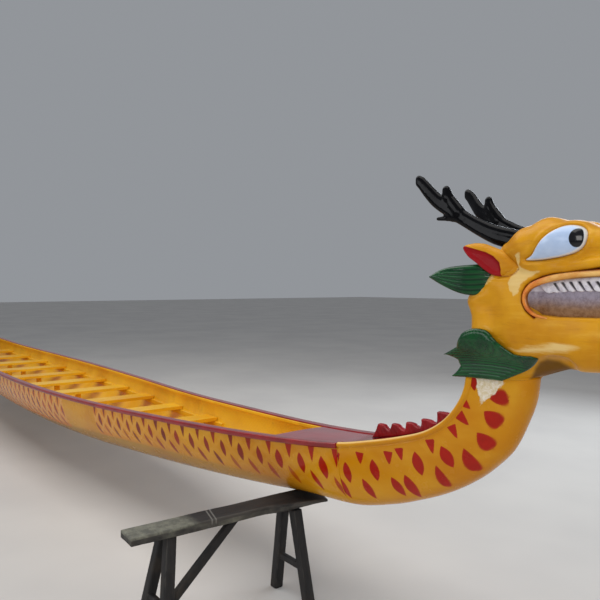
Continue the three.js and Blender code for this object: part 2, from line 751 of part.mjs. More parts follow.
function buildMouth() {
  addMesh('upper_teeth', toothBand(MOUTH_ROOF, UPPER_TEETH), 'white');
  addMesh('lower_teeth', toothBand(MOUTH_FLOOR, LOWER_TEETH), 'white');
  const [back, fore] = LINING_SPAN;
  const inside = [back, ...MOUTH_ROOF.map(([x]) => x).filter((x) => x > back && x < fore), fore];
  const roof = inside.map((x) => [x, lineAt(MOUTH_ROOF, x) - GAP]);
  const floor = inside.map((x) => [x, lineAt(MOUTH_FLOOR, x) + GAP]).reverse();
  const behindTeeth = prism(archPlan(TEETH_INSET + TEETH_WIDE + GAP, fore));
  const lining = common(plateAcross([...roof, ...floor], -PAST_CHEEK, PAST_CHEEK), behindTeeth);
  addMesh('mouth_lining', lining, 'mouth');
  const root = fore + GAP;
  const under = [root, ...TONGUE_UNDER].map((x) => [x, lineAt(MOUTH_FLOOR, x) + GAP]);
  const tongue = plateAcross([...under, ...TONGUE_TOP, [root, TONGUE_ROOT_Z]], -TONGUE_HALF, TONGUE_HALF);
  addMesh('tongue', cut(tongue, behindLine(MOUTH_FLOOR, 1)), 'red');
}

// What stands on the head, each cut to the head's surface
const LIP_ROWS = [
  [7060, 1702], [6960, 1726], [6850, 1743], [6750, 1752], [6652, 1753], [6560, 1742],
  [6468, 1728], [6400, 1706], [6372, 1662], [6382, 1616], [6419, 1584], [6500, 1582],
];
const LIP_RADIUS = 12;
const LIP_PROUD = 2;
const ANTLER_ROWS = [
  // x, y, z, up, across
  [6350, 104, 1842, 36, 32],
  [6295, 110, 1856, 37, 32],
  [6226, 116, 1874, 36, 30],
  [6163, 120, 1899, 33, 28],
  [6102, 124, 1929, 30, 26],
  [6012, 131, 1980, 32, 26],
  [5955, 139, 2017, 32, 24],
  [5918, 150, 2056, 27, 20],
  [5872, 157, 2114, 11, 9],
];
const TINE_ROWS = [
  [[6040, 127, 1968, 28, 20], [6004, 135, 2028, 21, 16], [6000, 137, 2062, 10, 8]],
  [[6090, 126, 1944, 18, 16], [6035, 130, 1950, 13, 12], [5980, 136, 1952, 7, 6]],
];
const EAR_ROWS = [
  [6320, 150, 1788, 34, 20],
  [6262, 172, 1786, 42, 26],
  [6200, 188, 1800, 34, 22],
  [6150, 196, 1818, 22, 14],
  [6108, 200, 1838, 5, 5],
];
const LEAF_ROWS = [
  [6310, 140, 1700, 24, 14],
  [6250, 178, 1703, 48, 16],
  [6170, 208, 1703, 54, 15],
  [6070, 226, 1710, 44, 12],
  [6020, 232, 1718, 24, 9],
  [5988, 234, 1725, 5, 5],
];
const MANE_LOW = NECK_TOP + 2;
const MANE_OUTLINE = [
  [6145, 1519], [6231, 1528], [6261, 1504], [6333, 1448], [6424, 1435], [6324, 1354], [6283, MANE_LOW],
  [6135, MANE_LOW], [6049, MANE_LOW], [6093, 1400], [6024, 1422],
];
const MANE_SPAN = [96, 146];        // inner and outer face of the lower mane leaf
const TAIL_LEAF_SPAN = [96, 132];
const EYE = { x: 6497, y: 158, z: 1838, long: 112, wide: 46, high: 54, pitch: 0.28 };
const NOSE = { x: 7096, z: 1786, long: 62, wide: 92, high: 46 };

function lipRoll() {
  const rows = LIP_ROWS.map(([x, z]) => new THREE.Vector3(x, headSide(x, z) + LIP_PROUD, z));
  const path = new THREE.CatmullRomCurve3(rows);
  const section = ovalSection(LIP_RADIUS, LIP_RADIUS, 8, 2);
  const shape = new THREE.Shape(section.map(([u, v]) => new THREE.Vector2(u, v)));
  return new THREE.ExtrudeGeometry(shape, { steps: 20, extrudePath: path, bevelEnabled: false });
}

function eyeBall() {
  const ball = new THREE.SphereGeometry(1, 20, 12);
  ball.scale(EYE.long, EYE.wide, EYE.high);
  ball.rotateY(-EYE.pitch);
  ball.translate(EYE.x, EYE.y, EYE.z);
  return ball;
}

function buildFace() {
  const skin = headWhole(GAP);
  const onBothSides = (name, geometry, finish, ...others) => {
    addMesh(`${name}_port`, cut(geometry, skin, ...others), finish);
    addMesh(`${name}_starboard`, cut(mirrorY(geometry), skin, ...others.map(mirrorY)), finish);
  };
  onBothSides('lip_roll', lipRoll(), 'lip');
  onBothSides('eye', eyeBall(), 'white');
  onBothSides('antler', join(limb(ANTLER_ROWS), ...TINE_ROWS.map((rows) => limb(rows, 8))), 'black');
  onBothSides('ear', limb(EAR_ROWS), 'yellow');
  onBothSides('cheek_leaf', limb(LEAF_ROWS), 'green');
  onBothSides('mane_leaf', plateAcross(MANE_OUTLINE, ...MANE_SPAN), 'green');
  const nose = new THREE.SphereGeometry(1, 16, 10);
  nose.scale(NOSE.long, NOSE.wide, NOSE.high);
  nose.translate(NOSE.x, 0, NOSE.z);
  addMesh('nose', cut(nose, skin), 'yellow');
}

// Tail: a tapering body on the stern neck with flame fins
const TAIL_ROWS = [
  // x, z, half along, half across
  [-6208, NECK_TOP + GAP, 122, 112],
  [-6226, 1410, 118, 106],
  [-6290, 1500, 106, 92],
  [-6395, 1575, 90, 76],
  [-6530, 1632, 72, 60],
  [-6670, 1690, 54, 46],
  [-6790, 1775, 38, 32],
  [-6870, 1880, 20, 16],
];
const TAIL_STEPS = 16;
const TAIL_FIN_THICK = 26;
const UPPER_FIN = [
  [-6112, 1400], [-6050, 1500], [-6128, 1530], [-6100, 1620], [-6204, 1622], [-6210, 1718], [-6334, 1692],
  [-6356, 1792], [-6480, 1738], [-6516, 1832], [-6628, 1778], [-6690, 1856], [-6744, 1806], [-6700, 1706],
  [-6530, 1640], [-6395, 1580], [-6290, 1500], [-6215, 1400],
];
const LOWER_FIN = [
  [-6300, 1470], [-6395, 1575], [-6530, 1632], [-6670, 1690], [-6770, 1760], [-6806, 1730], [-6806, 1650],
  [-6700, 1622], [-6700, 1552], [-6566, 1544], [-6560, 1462], [-6446, 1476], [-6444, 1400], [-6356, 1400],
];
const PLUME = [
  [-6800, 1840], [-6794, 1960], [-6866, 1950], [-6876, 2070], [-6948, 2004], [-7010, 2112], [-7034, 1990],
  [-7185, 2012], [-7104, 1918], [-7180, 1850], [-7044, 1840], [-7060, 1742], [-6942, 1788], [-6900, 1700],
  [-6826, 1770],
];

function tailBody(grow) {
  const last = TAIL_ROWS.length - 1;
  const sections = TAIL_ROWS.map(([, , along, across]) => (
    ovalSection(along + grow, across + grow, TAIL_STEPS, HULL_POWER)
  ));
  const rings = TAIL_ROWS.map(([x, z], k) => {
    const before = TAIL_ROWS[Math.max(k - 1, 0)];
    const after = TAIL_ROWS[Math.min(k + 1, last)];
    const lean = k === 0 ? 0 : Math.atan2(before[0] - after[0], after[1] - before[1]);
    const lift = k === last ? grow : 0;
    return sections[k].map(([u, y]) => [x + u * Math.cos(lean), y, z + u * Math.sin(lean) + lift]);
  });
  return loft(rings, [sections[0], sections[last]]);
}

function buildTail() {
  addMesh('tail_body', tailBody(0), 'yellow');
  const skin = tailBody(GAP);
  const neck = slab(-FAR, NECK_TOP + GAP);
  const half = TAIL_FIN_THICK / 2;
  const fins = [
    ['tail_upper_fin', UPPER_FIN, 'red'],
    ['tail_lower_fin', LOWER_FIN, 'red'],
    ['tail_plume', PLUME, 'green'],
  ];
  fins.forEach(([name, outline, finish]) => {
    addMesh(name, cut(plateAcross(outline, -half, half), skin, neck), finish);
  });
  const leaf = plateAcross(MANE_OUTLINE.map(([x, z]) => [-x, z]), ...TAIL_LEAF_SPAN);
  addMesh('tail_leaf_port', cut(leaf, skin), 'green');
  addMesh('tail_leaf_starboard', cut(mirrorY(leaf), skin), 'green');
}

buildHull();
buildRails();
buildEnds();
buildDecks();
const room = cavity(GAP);
buildKeelson(room);
buildSeats(room);
buildCrests();
buildSkull();
buildMouth();
buildFace();
buildTail();
buildTrestles();

export default boat;
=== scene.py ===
"""Looks of a full-size dragon boat on two wooden trestles.

Metres, +X to the bow, +Y to port, +Z up, with the floor at zero. Rows of numbers are places along the boat
or along a path, with smooth curves through them; outlines and lines are (x, z) points in side view.
"""
import math
from functools import partialmethod

import bpy
import numpy as np
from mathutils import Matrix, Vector


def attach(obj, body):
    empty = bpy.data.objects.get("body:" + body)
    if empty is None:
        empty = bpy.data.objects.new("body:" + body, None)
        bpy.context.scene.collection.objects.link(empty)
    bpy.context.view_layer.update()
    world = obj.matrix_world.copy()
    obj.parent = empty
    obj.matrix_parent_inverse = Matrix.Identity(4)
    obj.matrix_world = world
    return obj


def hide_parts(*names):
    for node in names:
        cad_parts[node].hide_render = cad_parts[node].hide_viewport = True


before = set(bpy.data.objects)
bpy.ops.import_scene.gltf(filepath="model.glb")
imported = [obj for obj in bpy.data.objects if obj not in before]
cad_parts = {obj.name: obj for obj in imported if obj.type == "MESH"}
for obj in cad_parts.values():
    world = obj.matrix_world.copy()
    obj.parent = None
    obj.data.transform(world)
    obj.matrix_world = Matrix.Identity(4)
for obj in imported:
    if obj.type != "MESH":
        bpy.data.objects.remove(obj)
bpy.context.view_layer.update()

# Sizes shared by several pieces
SEAM_X = 5.37            # joint between the main hull and each end piece
SEAM_GAP = 0.0008
HULL_POWER = 2.2         # exponent of the rounded hull section
SHELL_THICK = 0.014
LIP_WIDE = 0.046         # turned-in flange along the gunwale
LIP_HIGH = 0.022
RAIL_PROUD = 0.013
RAIL_DEEP = 0.027
RAIL_CAP = 0.008
RAIL_SETBACK = 0.004     # rail's inner edge from the flange's edge
DECK_THICK = 0.012
DECK_SINK = 0.004
DECK_AFT = 4.86
DECK_CAMBER = 0.003
BEAD_WIDE = 0.030        # rolled bead along the top of each end piece
BEAD_ROUND = 0.0135
BEAD_IN = 0.0065         # bead's middle in from the side and down from the edge
BEAD_DOWN = 0.0106
NECK_TOP = 1.345
SEAT_DROP = 0.132
SEAT_THICK = 0.026
LEDGE_SIDE = 0.046
LEDGE_REACH = 3.48
CLEAR = 0.0003           # between pieces that rest on each other
EDGE_ANGLE = 38          # degrees past which an edge is shaded sharp
COARSE = 1.0

# Spacing of the points on carved pieces
HEAD_STEP = 0.0054
NOSE_STEP = 0.0045
TEETH_STEP = 0.0037
WALL_STEP = 0.0070
CARVING_STEP = 0.0036    # eyes, antlers, ears and leaves
CREST_STEP = 0.0034
FIN_STEP = 0.0046
TIMBER_STEP = 0.0060

HULL_ROWS = [
    # x, half-breadth, gunwale, keel
    (0.000, 0.558, 0.741, 0.265),
    (0.800, 0.548, 0.742, 0.272),
    (1.600, 0.516, 0.748, 0.292),
    (2.400, 0.456, 0.761, 0.330),
    (3.100, 0.393, 0.784, 0.382),
    (3.700, 0.338, 0.812, 0.432),
    (4.200, 0.289, 0.838, 0.480),
    (4.650, 0.240, 0.866, 0.530),
    (5.020, 0.199, 0.897, 0.577),
    (SEAM_X, 0.166, 0.937, 0.608),
]
NECK_ROWS = [
    # back edge x, z; front edge x, z; half-breadth
    (5.600, 0.990, 5.592, 0.669, 0.152),
    (5.763, 1.036, 5.767, 0.736, 0.141),
    (5.886, 1.080, 5.927, 0.811, 0.133),
    (5.972, 1.133, 6.055, 0.891, 0.127),
    (6.026, 1.188, 6.146, 0.966, 0.122),
    (6.060, 1.240, 6.224, 1.050, 0.118),
    (6.078, 1.285, 6.290, 1.180, 0.115),
    (6.084, 1.320, 6.318, 1.260, 0.113),
    (6.086, NECK_TOP, 6.330, NECK_TOP, 0.112),
]


# Curves through rows
def through(rows, places):
    """Smooth curve through rows whose first column is the place along it."""
    table = np.array(rows, float)
    at, values = table[:, 0], table[:, 1:]
    slope = np.empty_like(values)
    slope[1:-1] = (values[2:] - values[:-2]) / (at[2:] - at[:-2])[:, None]
    slope[0] = (values[1] - values[0]) / (at[1] - at[0])
    slope[-1] = (values[-1] - values[-2]) / (at[-1] - at[-2])
    places = np.asarray(places, float)
    cell = np.clip(np.searchsorted(at, places.ravel()) - 1, 0, len(at) - 2)
    wide = (at[cell + 1] - at[cell])[:, None]
    t = np.clip((places.ravel() - at[cell])[:, None] / wide, 0, 1)
    found = ((2 * t**3 - 3 * t**2 + 1) * values[cell] + (t**3 - 2 * t**2 + t) * wide * slope[cell]
             + (3 * t**2 - 2 * t**3) * values[cell + 1] + (t**3 - t**2) * wide * slope[cell + 1])
    return [found[:, k].reshape(places.shape) for k in range(values.shape[1])]


def along_path(points, count):
    """Evenly spaced points on a smooth curve through points."""
    table = np.array(points, float)
    run = np.r_[0, np.cumsum(np.linalg.norm(np.diff(table, axis=0), axis=1))]
    return np.stack(through(np.c_[run, table], np.linspace(0, run[-1], count)), 1)


def closed_curve(points, count=96):
    """Smooth closed outline through points."""
    ends = list(points[-3:]) + list(points) + list(points[:3])
    table = np.array(ends, float)
    run = np.r_[0, np.cumsum(np.linalg.norm(np.diff(table, axis=0), axis=1))]
    places = np.linspace(run[3], run[3 + len(points)], count, endpoint=False)
    return np.stack(through(np.c_[run, table], places), 1)


def ease(value, low, high):
    """Rises smoothly from 0 at low to 1 at high."""
    t = np.clip((value - low) / (high - low), 0, 1)
    return t * t * (3 - 2 * t)


def bell(value, width):
    """1 at zero, falling to nothing at a few widths."""
    return np.exp(-(value / width) ** 2)


def rounded(wave):
    """A sine or cosine, filled out to the hull's section."""
    return np.sign(wave) * np.abs(wave) ** (2 / HULL_POWER)


# Meshes
def add_piece(name, points, faces, materials, slot, replaces=(), sharp=180, smooth=0, face_slots=None,
              **paints):
    """A mesh piece that rides on the boat. Paints are values per point that its material reads."""
    mesh = bpy.data.meshes.new(name)
    mesh.from_pydata(np.asarray(points, float).tolist(), [], [tuple(map(int, f)) for f in faces])
    mesh.validate()
    for material in materials if isinstance(materials, list) else [materials]:
        mesh.materials.append(material)
    if face_slots is not None:
        mesh.polygons.foreach_set("material_index", np.asarray(face_slots, np.int32))
    for label, values in paints.items():
        values = np.asarray(values, np.float32)
        kind = "FLOAT" if values.ndim == 1 else "FLOAT_VECTOR"
        field = "value" if values.ndim == 1 else "vector"
        mesh.attributes.new(label, kind, "POINT").data.foreach_set(field, values.ravel())
    mesh.shade_smooth()
    mesh.set_sharp_from_angle(angle=math.radians(sharp))
    piece = bpy.data.objects.new(name, mesh)
    bpy.context.scene.collection.objects.link(piece)
    if smooth:
        even = piece.modifiers.new("even_surface", "SMOOTH")
        even.factor, even.iterations = 0.5, smooth
    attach(piece, "root")
    if replaces:
        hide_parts(*replaces)
    return piece


def grid_faces(rings, count):
    """Quads between closed rings of count points each."""
    ring, k = np.meshgrid(np.arange(rings - 1), np.arange(count), indexing="ij")
    a = (ring * count + k).ravel()
    b = (ring * count + (k + 1) % count).ravel()
    return np.stack([a, b, b + count, a + count], 1)


def loft(rings):
    """Points and faces of a closed body through rings, each end closed by a fan."""
    rings = np.asarray(rings, float)
    number, count = rings.shape[:2]
    points = np.concatenate([rings.reshape(-1, 3), [rings[0].mean(0)], [rings[-1].mean(0)]])
    first = [(number * count, (k + 1) % count, k) for k in range(count)]
    base = (number - 1) * count
    last = [(number * count + 1, base + k, base + (k + 1) % count) for k in range(count)]
    return outward(points, [*grid_faces(number, count).tolist(), *first, *last])


def outward(points, faces):
    """Turns every face over if the body is inside out."""
    total = 0.0
    for face in faces:
        corner = points[face[0]]
        for second, third in zip(face[1:-1], face[2:]):
            total += float(np.dot(corner, np.cross(points[second], points[third])))
    return points, faces if total > 0 else [tuple(face)[::-1] for face in faces]


def mirrored(points, faces, axis):
    """The mirror image across an axis: 0 from bow to stern, 1 from port to starboard."""
    turned = np.array(points, float)
    turned[:, axis] *= -1
    return turned, [tuple(face)[::-1] for face in faces]


def add_pair(pieces, points, faces, axis, material, slot, **settings):
    """A piece and its mirror image across an axis. pieces holds the name and the replaced node of each."""
    for (name, node), body in zip(pieces, ((points, faces), mirrored(points, faces, axis))):
        add_piece(name, *body, material, slot, [node], **settings)


def both_sides(name, node):
    """Names and replaced nodes of a port and a starboard piece."""
    return [(f"{name}_{side}", f"{node}_{side}") for side in ("port", "starboard")]


# Carving: a body is where its field is below zero
def carve(field, low, high, step):
    """Points and faces of the zero level of field between two corners, by one point in each crossed cell."""
    step = step * COARSE
    axes = [np.arange(a - 2 * step, b + 3 * step, step) for a, b in zip(low, high)]
    x, y, z = axes[0][:, None, None], axes[1][None, :, None], axes[2][None, None, :]
    level = np.broadcast_to(field(x, y, z), [len(a) for a in axes]).astype(np.float32).copy()
    for side in (0, -1):
        level[side], level[:, side], level[:, :, side] = 1, 1, 1
    inside = level < 0
    corners = np.array([(i, j, k) for i in (0, 1) for j in (0, 1) for k in (0, 1)])
    full = [slice(0, -1), slice(1, None)]
    count = sum(inside[full[i], full[j], full[k]].astype(np.int8) for i, j, k in corners)
    cells = np.argwhere((count > 0) & (count < 8))
    values = np.stack([level[tuple((cells + c).T)] for c in corners], 1)
    total = np.zeros((len(cells), 3))
    number = np.zeros(len(cells))
    for a in range(8):
        for b in range(a + 1, 8):
            if np.abs(corners[a] - corners[b]).sum() != 1:
                continue
            crossed = (values[:, a] < 0) != (values[:, b] < 0)
            share = values[crossed, a] / (values[crossed, a] - values[crossed, b])
            total[crossed] += corners[a] + share[:, None] * (corners[b] - corners[a])
            number[crossed] += 1
    origin = np.array([a[0] for a in axes])
    points = origin + step * (cells + total / number[:, None])
    index = np.full(level.shape, -1, np.int64)
    index[tuple(cells.T)] = np.arange(len(cells))
    faces = []
    for axis in range(3):
        lower = [slice(None)] * 3
        upper = [slice(None)] * 3
        lower[axis], upper[axis] = full
        change = inside[tuple(lower)].astype(np.int8) - inside[tuple(upper)].astype(np.int8)
        edges = np.argwhere(change != 0)
        sign = change[tuple(edges.T)]
        u, v = (np.eye(3, dtype=int)[(axis + 1) % 3], np.eye(3, dtype=int)[(axis + 2) % 3])
        ring = np.stack([index[tuple((edges - shift).T)] for shift in (0 * u, u, u + v, v)], 1)
        ring[sign < 0] = ring[sign < 0][:, ::-1]
        faces.append(ring)
    return settled(field, points, step), np.concatenate(faces)


def settled(field, points, step):
    """Points of a carved body, moved on to its true surface."""
    nudge = step * 0.05
    for _ in range(3):
        x, y, z = points.T
        level = field(x, y, z)
        slope = np.stack([field(x + nudge, y, z), field(x, y + nudge, z), field(x, y, z + nudge)], 1)
        slope = (slope - level[:, None]) / nudge
        steep = np.maximum((slope**2).sum(1), 0.2)
        points = points - slope * np.clip(level / steep, -0.3 * step, 0.3 * step)[:, None]
    return points


def blend(a, b, reach):
    """Joins two fields with a fillet."""
    h = np.clip(0.5 + 0.5 * (b - a) / reach, 0, 1)
    return b + (a - b) * h - reach * h * (1 - h)


def trim(a, b, reach):
    """Keeps what lies in both fields, with a rounded edge."""
    return -blend(-a, -b, reach)


def limb(x, y, z, rows, reach=0.01):
    """A tapering round limb through rows of x, y, z and radius."""
    whole = None
    for start, end in zip(rows, rows[1:]):
        a, b = np.array(start, float), np.array(end, float)
        d = b[:3] - a[:3]
        t = ((x - a[0]) * d[0] + (y - a[1]) * d[1] + (z - a[2]) * d[2]) / float(d @ d)
        t = np.clip(t, 0, 1)
        gap = np.sqrt((x - a[0] - t * d[0])**2 + (y - a[1] - t * d[1])**2 + (z - a[2] - t * d[2])**2)
        one = gap - (a[3] + t * (b[3] - a[3]))
        whole = one if whole is None else blend(whole, one, reach)
    return whole


def ellipsoid(x, y, z, centre, radii, pitch=0.0):
    dx, dy, dz = x - centre[0], y - centre[1], z - centre[2]
    c, s = math.cos(pitch), math.sin(pitch)
    along, up = c * dx + s * dz, c * dz - s * dx
    share = np.sqrt((along / radii[0])**2 + (dy / radii[1])**2 + (up / radii[2])**2)
    return (share - 1) * min(radii)


def line_distance(x, z, line):
    """Distance to an open line of (x, z) points in side view."""
    best = None
    for a, b in zip(line, line[1:]):
        dx, dz = b[0] - a[0], b[1] - a[1]
        t = np.clip(((x - a[0]) * dx + (z - a[1]) * dz) / (dx * dx + dz * dz), 0, 1)
        one = (x - a[0] - t * dx)**2 + (z - a[1] - t * dz)**2
        best = one if best is None else np.minimum(best, one)
    return np.sqrt(best)


def outline_distance(x, z, outline):
    """Distance to a closed outline in side view, below zero inside it."""
    shape = np.broadcast_shapes(np.shape(x), np.shape(z))
    inside = np.zeros(shape, bool)
    for a, b in zip(outline, [*outline[1:], outline[0]]):
        if a[1] != b[1]:
            crosses = (a[1] > z) != (b[1] > z)
            inside ^= crosses & (x < (b[0] - a[0]) * (z - a[1]) / (b[1] - a[1]) + a[0])
    far = line_distance(x, z, [*outline, outline[0]])
    return np.where(inside, -far, far)


def ripple(x, y, z, size, seed):
    """Gentle irregularity between -1 and 1, from sines in fixed random directions."""
    draw = np.random.default_rng(seed)
    total = 0.0
    for _ in range(5):
        way = draw.normal(size=3)
        way *= (0.7 + 0.8 * draw.random()) / (np.linalg.norm(way) * size)
        total = total + np.sin(x * way[0] + y * way[1] + z * way[2] + draw.random() * 6.3)
    return total / 5


# Materials
def paint(red, green, blue):
    """Colour from 0-255 display values."""
    linear = [(v / 255 / 12.92) if v < 11 else ((v / 255 + 0.055) / 1.055) ** 2.4 for v in (red, green, blue)]
    return (*linear, 1.0)


class Term:
    """A value inside a material, so that its formula can be written as one."""

    def __init__(self, shader, socket):
        self.shader, self.socket = shader, socket

    def math(self, operation, *others):
        node = self.shader.node("ShaderNodeMath", operation=operation)
        for k, value in enumerate((self, *others)):
            self.shader.feed(node.inputs[k], value)
        return Term(self.shader, node.outputs[0])

    __add__ = partialmethod(math, "ADD")
    __sub__ = partialmethod(math, "SUBTRACT")
    __mul__ = partialmethod(math, "MULTIPLY")
    __truediv__ = partialmethod(math, "DIVIDE")
    __abs__ = partialmethod(math, "ABSOLUTE")
    less = partialmethod(math, "LESS_THAN")
    more = partialmethod(math, "GREATER_THAN")
    power = partialmethod(math, "POWER")
    top = partialmethod(math, "MAXIMUM")
    nearest = partialmethod(math, "ROUND")

    def rise(self, low, high):
        """0 below low, 1 above high, smooth between; low may be above high."""
        node = self.shader.node("ShaderNodeMapRange", interpolation_type="SMOOTHSTEP")
        for socket, value in zip(node.inputs, (self, low, high, 0.0, 1.0)):
            self.shader.feed(socket, value)
        return Term(self.shader, node.outputs[0])


class Shader:
    """A glossy paint or other finish, written as a node graph."""

    def __init__(self, name, roughness=0.3, coat=0.0, specular=0.3):
        self.material = bpy.data.materials.new(name)
        self.material.use_nodes = True
        self.tree = self.material.node_tree
        self.surface = self.tree.nodes["Principled BSDF"]
        self.surface.inputs["Roughness"].default_value = roughness
        self.surface.inputs["Coat Weight"].default_value = coat
        self.surface.inputs["Specular IOR Level"].default_value = specular
        self.surface.inputs["Coat Roughness"].default_value = 0.08
        self.place = self.node("ShaderNodeTexCoord").outputs["Object"]

    def node(self, kind, **settings):
        made = self.tree.nodes.new(kind)
        for label, value in settings.items():
            setattr(made, label, value)
        return made

    def feed(self, socket, value):
        value = value.socket if isinstance(value, Term) else value
        if isinstance(value, bpy.types.NodeSocket):
            self.tree.links.new(value, socket)
        else:
            socket.default_value = value

    def split(self, vector):
        node = self.node("ShaderNodeSeparateXYZ")
        self.feed(node.inputs[0], vector)
        return [Term(self, out) for out in node.outputs]

    def joined(self, *values):
        node = self.node("ShaderNodeCombineXYZ")
        for socket, value in zip(node.inputs, values):
            self.feed(socket, value)
        return node.outputs[0]

    def painted(self, label):
        return Term(self, self.node("ShaderNodeAttribute", attribute_name=label).outputs["Fac"])

    def painted_vector(self, label):
        return self.split(self.node("ShaderNodeAttribute", attribute_name=label).outputs["Vector"])

    def noise(self, scale, detail=3.0, rough=0.55, stretch=(1, 1, 1), vector=None):
        source = self.place if vector is None else vector
        if stretch != (1, 1, 1):
            mapping = self.node("ShaderNodeMapping", vector_type="POINT")
            self.feed(mapping.inputs["Vector"], source)
            mapping.inputs["Scale"].default_value = stretch
            source = mapping.outputs[0]
        node = self.node("ShaderNodeTexNoise")
        self.feed(node.inputs["Vector"], source)
        node.inputs["Scale"].default_value = scale
        node.inputs["Detail"].default_value = detail
        node.inputs["Roughness"].default_value = rough
        return Term(self, node.outputs["Fac"])

    def cell_random(self, *values):
        node = self.node("ShaderNodeTexWhiteNoise", noise_dimensions="3D")
        self.feed(node.inputs["Vector"], self.joined(*values))
        return self.split(node.outputs["Color"])

    def dusty(self, scale, detail, reach, low):
        """Roughness that varies by reach above low."""
        return self.noise(scale, detail).rise(0.3, 0.8) * reach + low

    def mix(self, share, first, second):
        node = self.node("ShaderNodeMix", data_type="RGBA")
        self.feed(node.inputs[0], share)
        self.feed(node.inputs[6], first)
        self.feed(node.inputs[7], second)
        return node.outputs[2]

    def colour(self, value):
        self.feed(self.surface.inputs["Base Color"], value)

    def rough(self, value):
        self.feed(self.surface.inputs["Roughness"], value)

    def bump(self, height, distance, strength=1.0):
        node = self.node("ShaderNodeBump")
        node.inputs["Strength"].default_value = strength
        node.inputs["Distance"].default_value = distance
        self.feed(node.inputs["Height"], height)
        if self.surface.inputs["Normal"].is_linked:
            self.feed(node.inputs["Normal"], self.surface.inputs["Normal"].links[0].from_socket)
        self.feed(self.surface.inputs["Normal"], node.outputs[0])


# Colours of the hull and its painted marks
HULL_YELLOW = paint(214, 148, 12)
HULL_DEEP = paint(196, 124, 8)
HULL_PALE = paint(226, 176, 48)
HULL_UNDER_SHADED = paint(150, 116, 44)
SCALE_RED = paint(180, 12, 10)
SCALE_DARK = paint(146, 10, 8)
HULL_MARK = paint(150, 34, 10)
HULL_MARK_DARK = paint(112, 20, 8)
LATTICE = paint(226, 172, 84)
AFT_ORANGE = paint(222, 118, 28)


def gelcoat_ground(shader):
    """Yellow gelcoat: cloudy with deeper colour, and with paler runs."""
    cloud = shader.noise(1.7, 4).rise(0.35, 0.68)
    streak = shader.noise(9, 4, stretch=(0.35, 1, 1)).rise(0.4, 0.75)
    ground = shader.mix(cloud, HULL_YELLOW, HULL_DEEP)
    return shader.mix(streak * 0.35, ground, HULL_PALE)


def gelcoat_gloss(shader, dull=0.0):
    shader.rough(shader.dusty(14, 5, 0.16, 0.16) + dull)
    shader.bump(shader.noise(5, 2), 0.003, 0.35)
    shader.bump(shader.noise(130, 2), 0.0004, 0.3)


BARE_FROM, BARE_TO = 2.13, 2.74        # bare length of the painted band


def scaled_gelcoat():
    """Main hull outside: three rows of painted scales below the rail, each in a cell of a diamond lattice."""
    shader = Shader("scaled_gelcoat", coat=0.10, specular=0.16)
    along, down, girth = shader.painted_vector("scales")
    x = shader.split(shader.place)[0]
    along = along + (shader.noise(7, 2) - 0.5) * 0.10
    first = (along + down).nearest()
    second = (along - down).nearest()
    in_first = along + down - first
    in_second = along - down - second
    du = (in_first + in_second) * 0.5
    ds = (in_first - in_second) * 0.5
    row = first - second
    jitter, jitter_size, jitter_tone = shader.cell_random(first, second, 0.37)
    aft = x.rise(4.2, 2.0)
    ragged = (shader.noise(60, 3) - 0.5) * 0.035
    size = (jitter_size - 0.5) * 0.25 + 1.0 - aft * 0.18
    du = du + (jitter - 0.5) * 0.05

    # Top row: hanging triangles; middle row: leaves; bottom row: slanted leaves
    hang = (ds + 0.2) / 0.60
    side = (hang * -1 + 1).top(0).power(0.75)
    top_mark = (side * 0.160 * size - abs(du - ds * 0.08) + ragged).top(-1) * hang.more(0.0)
    leaf = (ds / 0.43).power(2) * -1 + 1
    middle_mark = leaf.top(0) * 0.165 * size - abs(du - ds * 0.12) + ragged
    is_top, is_middle = [abs(row - k).less(0.5) for k in range(2)]
    tilted = along - (down - 1.0) * 0.42
    low_down = (down - 1.10) / 0.44
    low_mark = (low_down.power(2) * -1 + 1).top(0) * 0.150 - abs(tilted - tilted.nearest()) + ragged
    faint = shader.cell_random(tilted.nearest(), 0.0, 0.61)[0] * 0.4 + 0.6
    mark = is_top * top_mark.rise(0.0, 0.03) + is_middle * middle_mark.rise(0.0, 0.03)
    mark = mark.top(low_mark.rise(0.0, 0.06) * faint)

    lines = abs(in_first).top(abs(in_second)).rise(0.32, 0.44)
    in_band = girth.more(0.006) * down.less(1.56)
    bare = x.more(BARE_FROM) * x.less(BARE_TO)
    shown = in_band * (bare * -1 + 1)
    ground = gelcoat_ground(shader)
    # Below the band the gelcoat is plainer, and darker on the underside as painted shade
    under = down.rise(1.30, 1.65) * abs(x).rise(5.3, 4.4)
    flat_side = shader.mix(under, ground, shader.mix(0.55, ground, HULL_UNDER_SHADED))
    orange = shader.mix(aft * shown * 0.62, flat_side, AFT_ORANGE)
    net = shader.mix(lines * shown * down.less(1.3) * (aft * 0.62 + 0.10), orange, LATTICE)
    red = shader.mix(jitter_tone, HULL_MARK, HULL_MARK_DARK)
    red = shader.mix(x.rise(4.3, 5.4), red, shader.mix(shader.noise(30, 3), SCALE_RED, SCALE_DARK))
    shader.colour(shader.mix(mark * shown * 0.96, net, red))
    gelcoat_gloss(shader)
    return shader.material


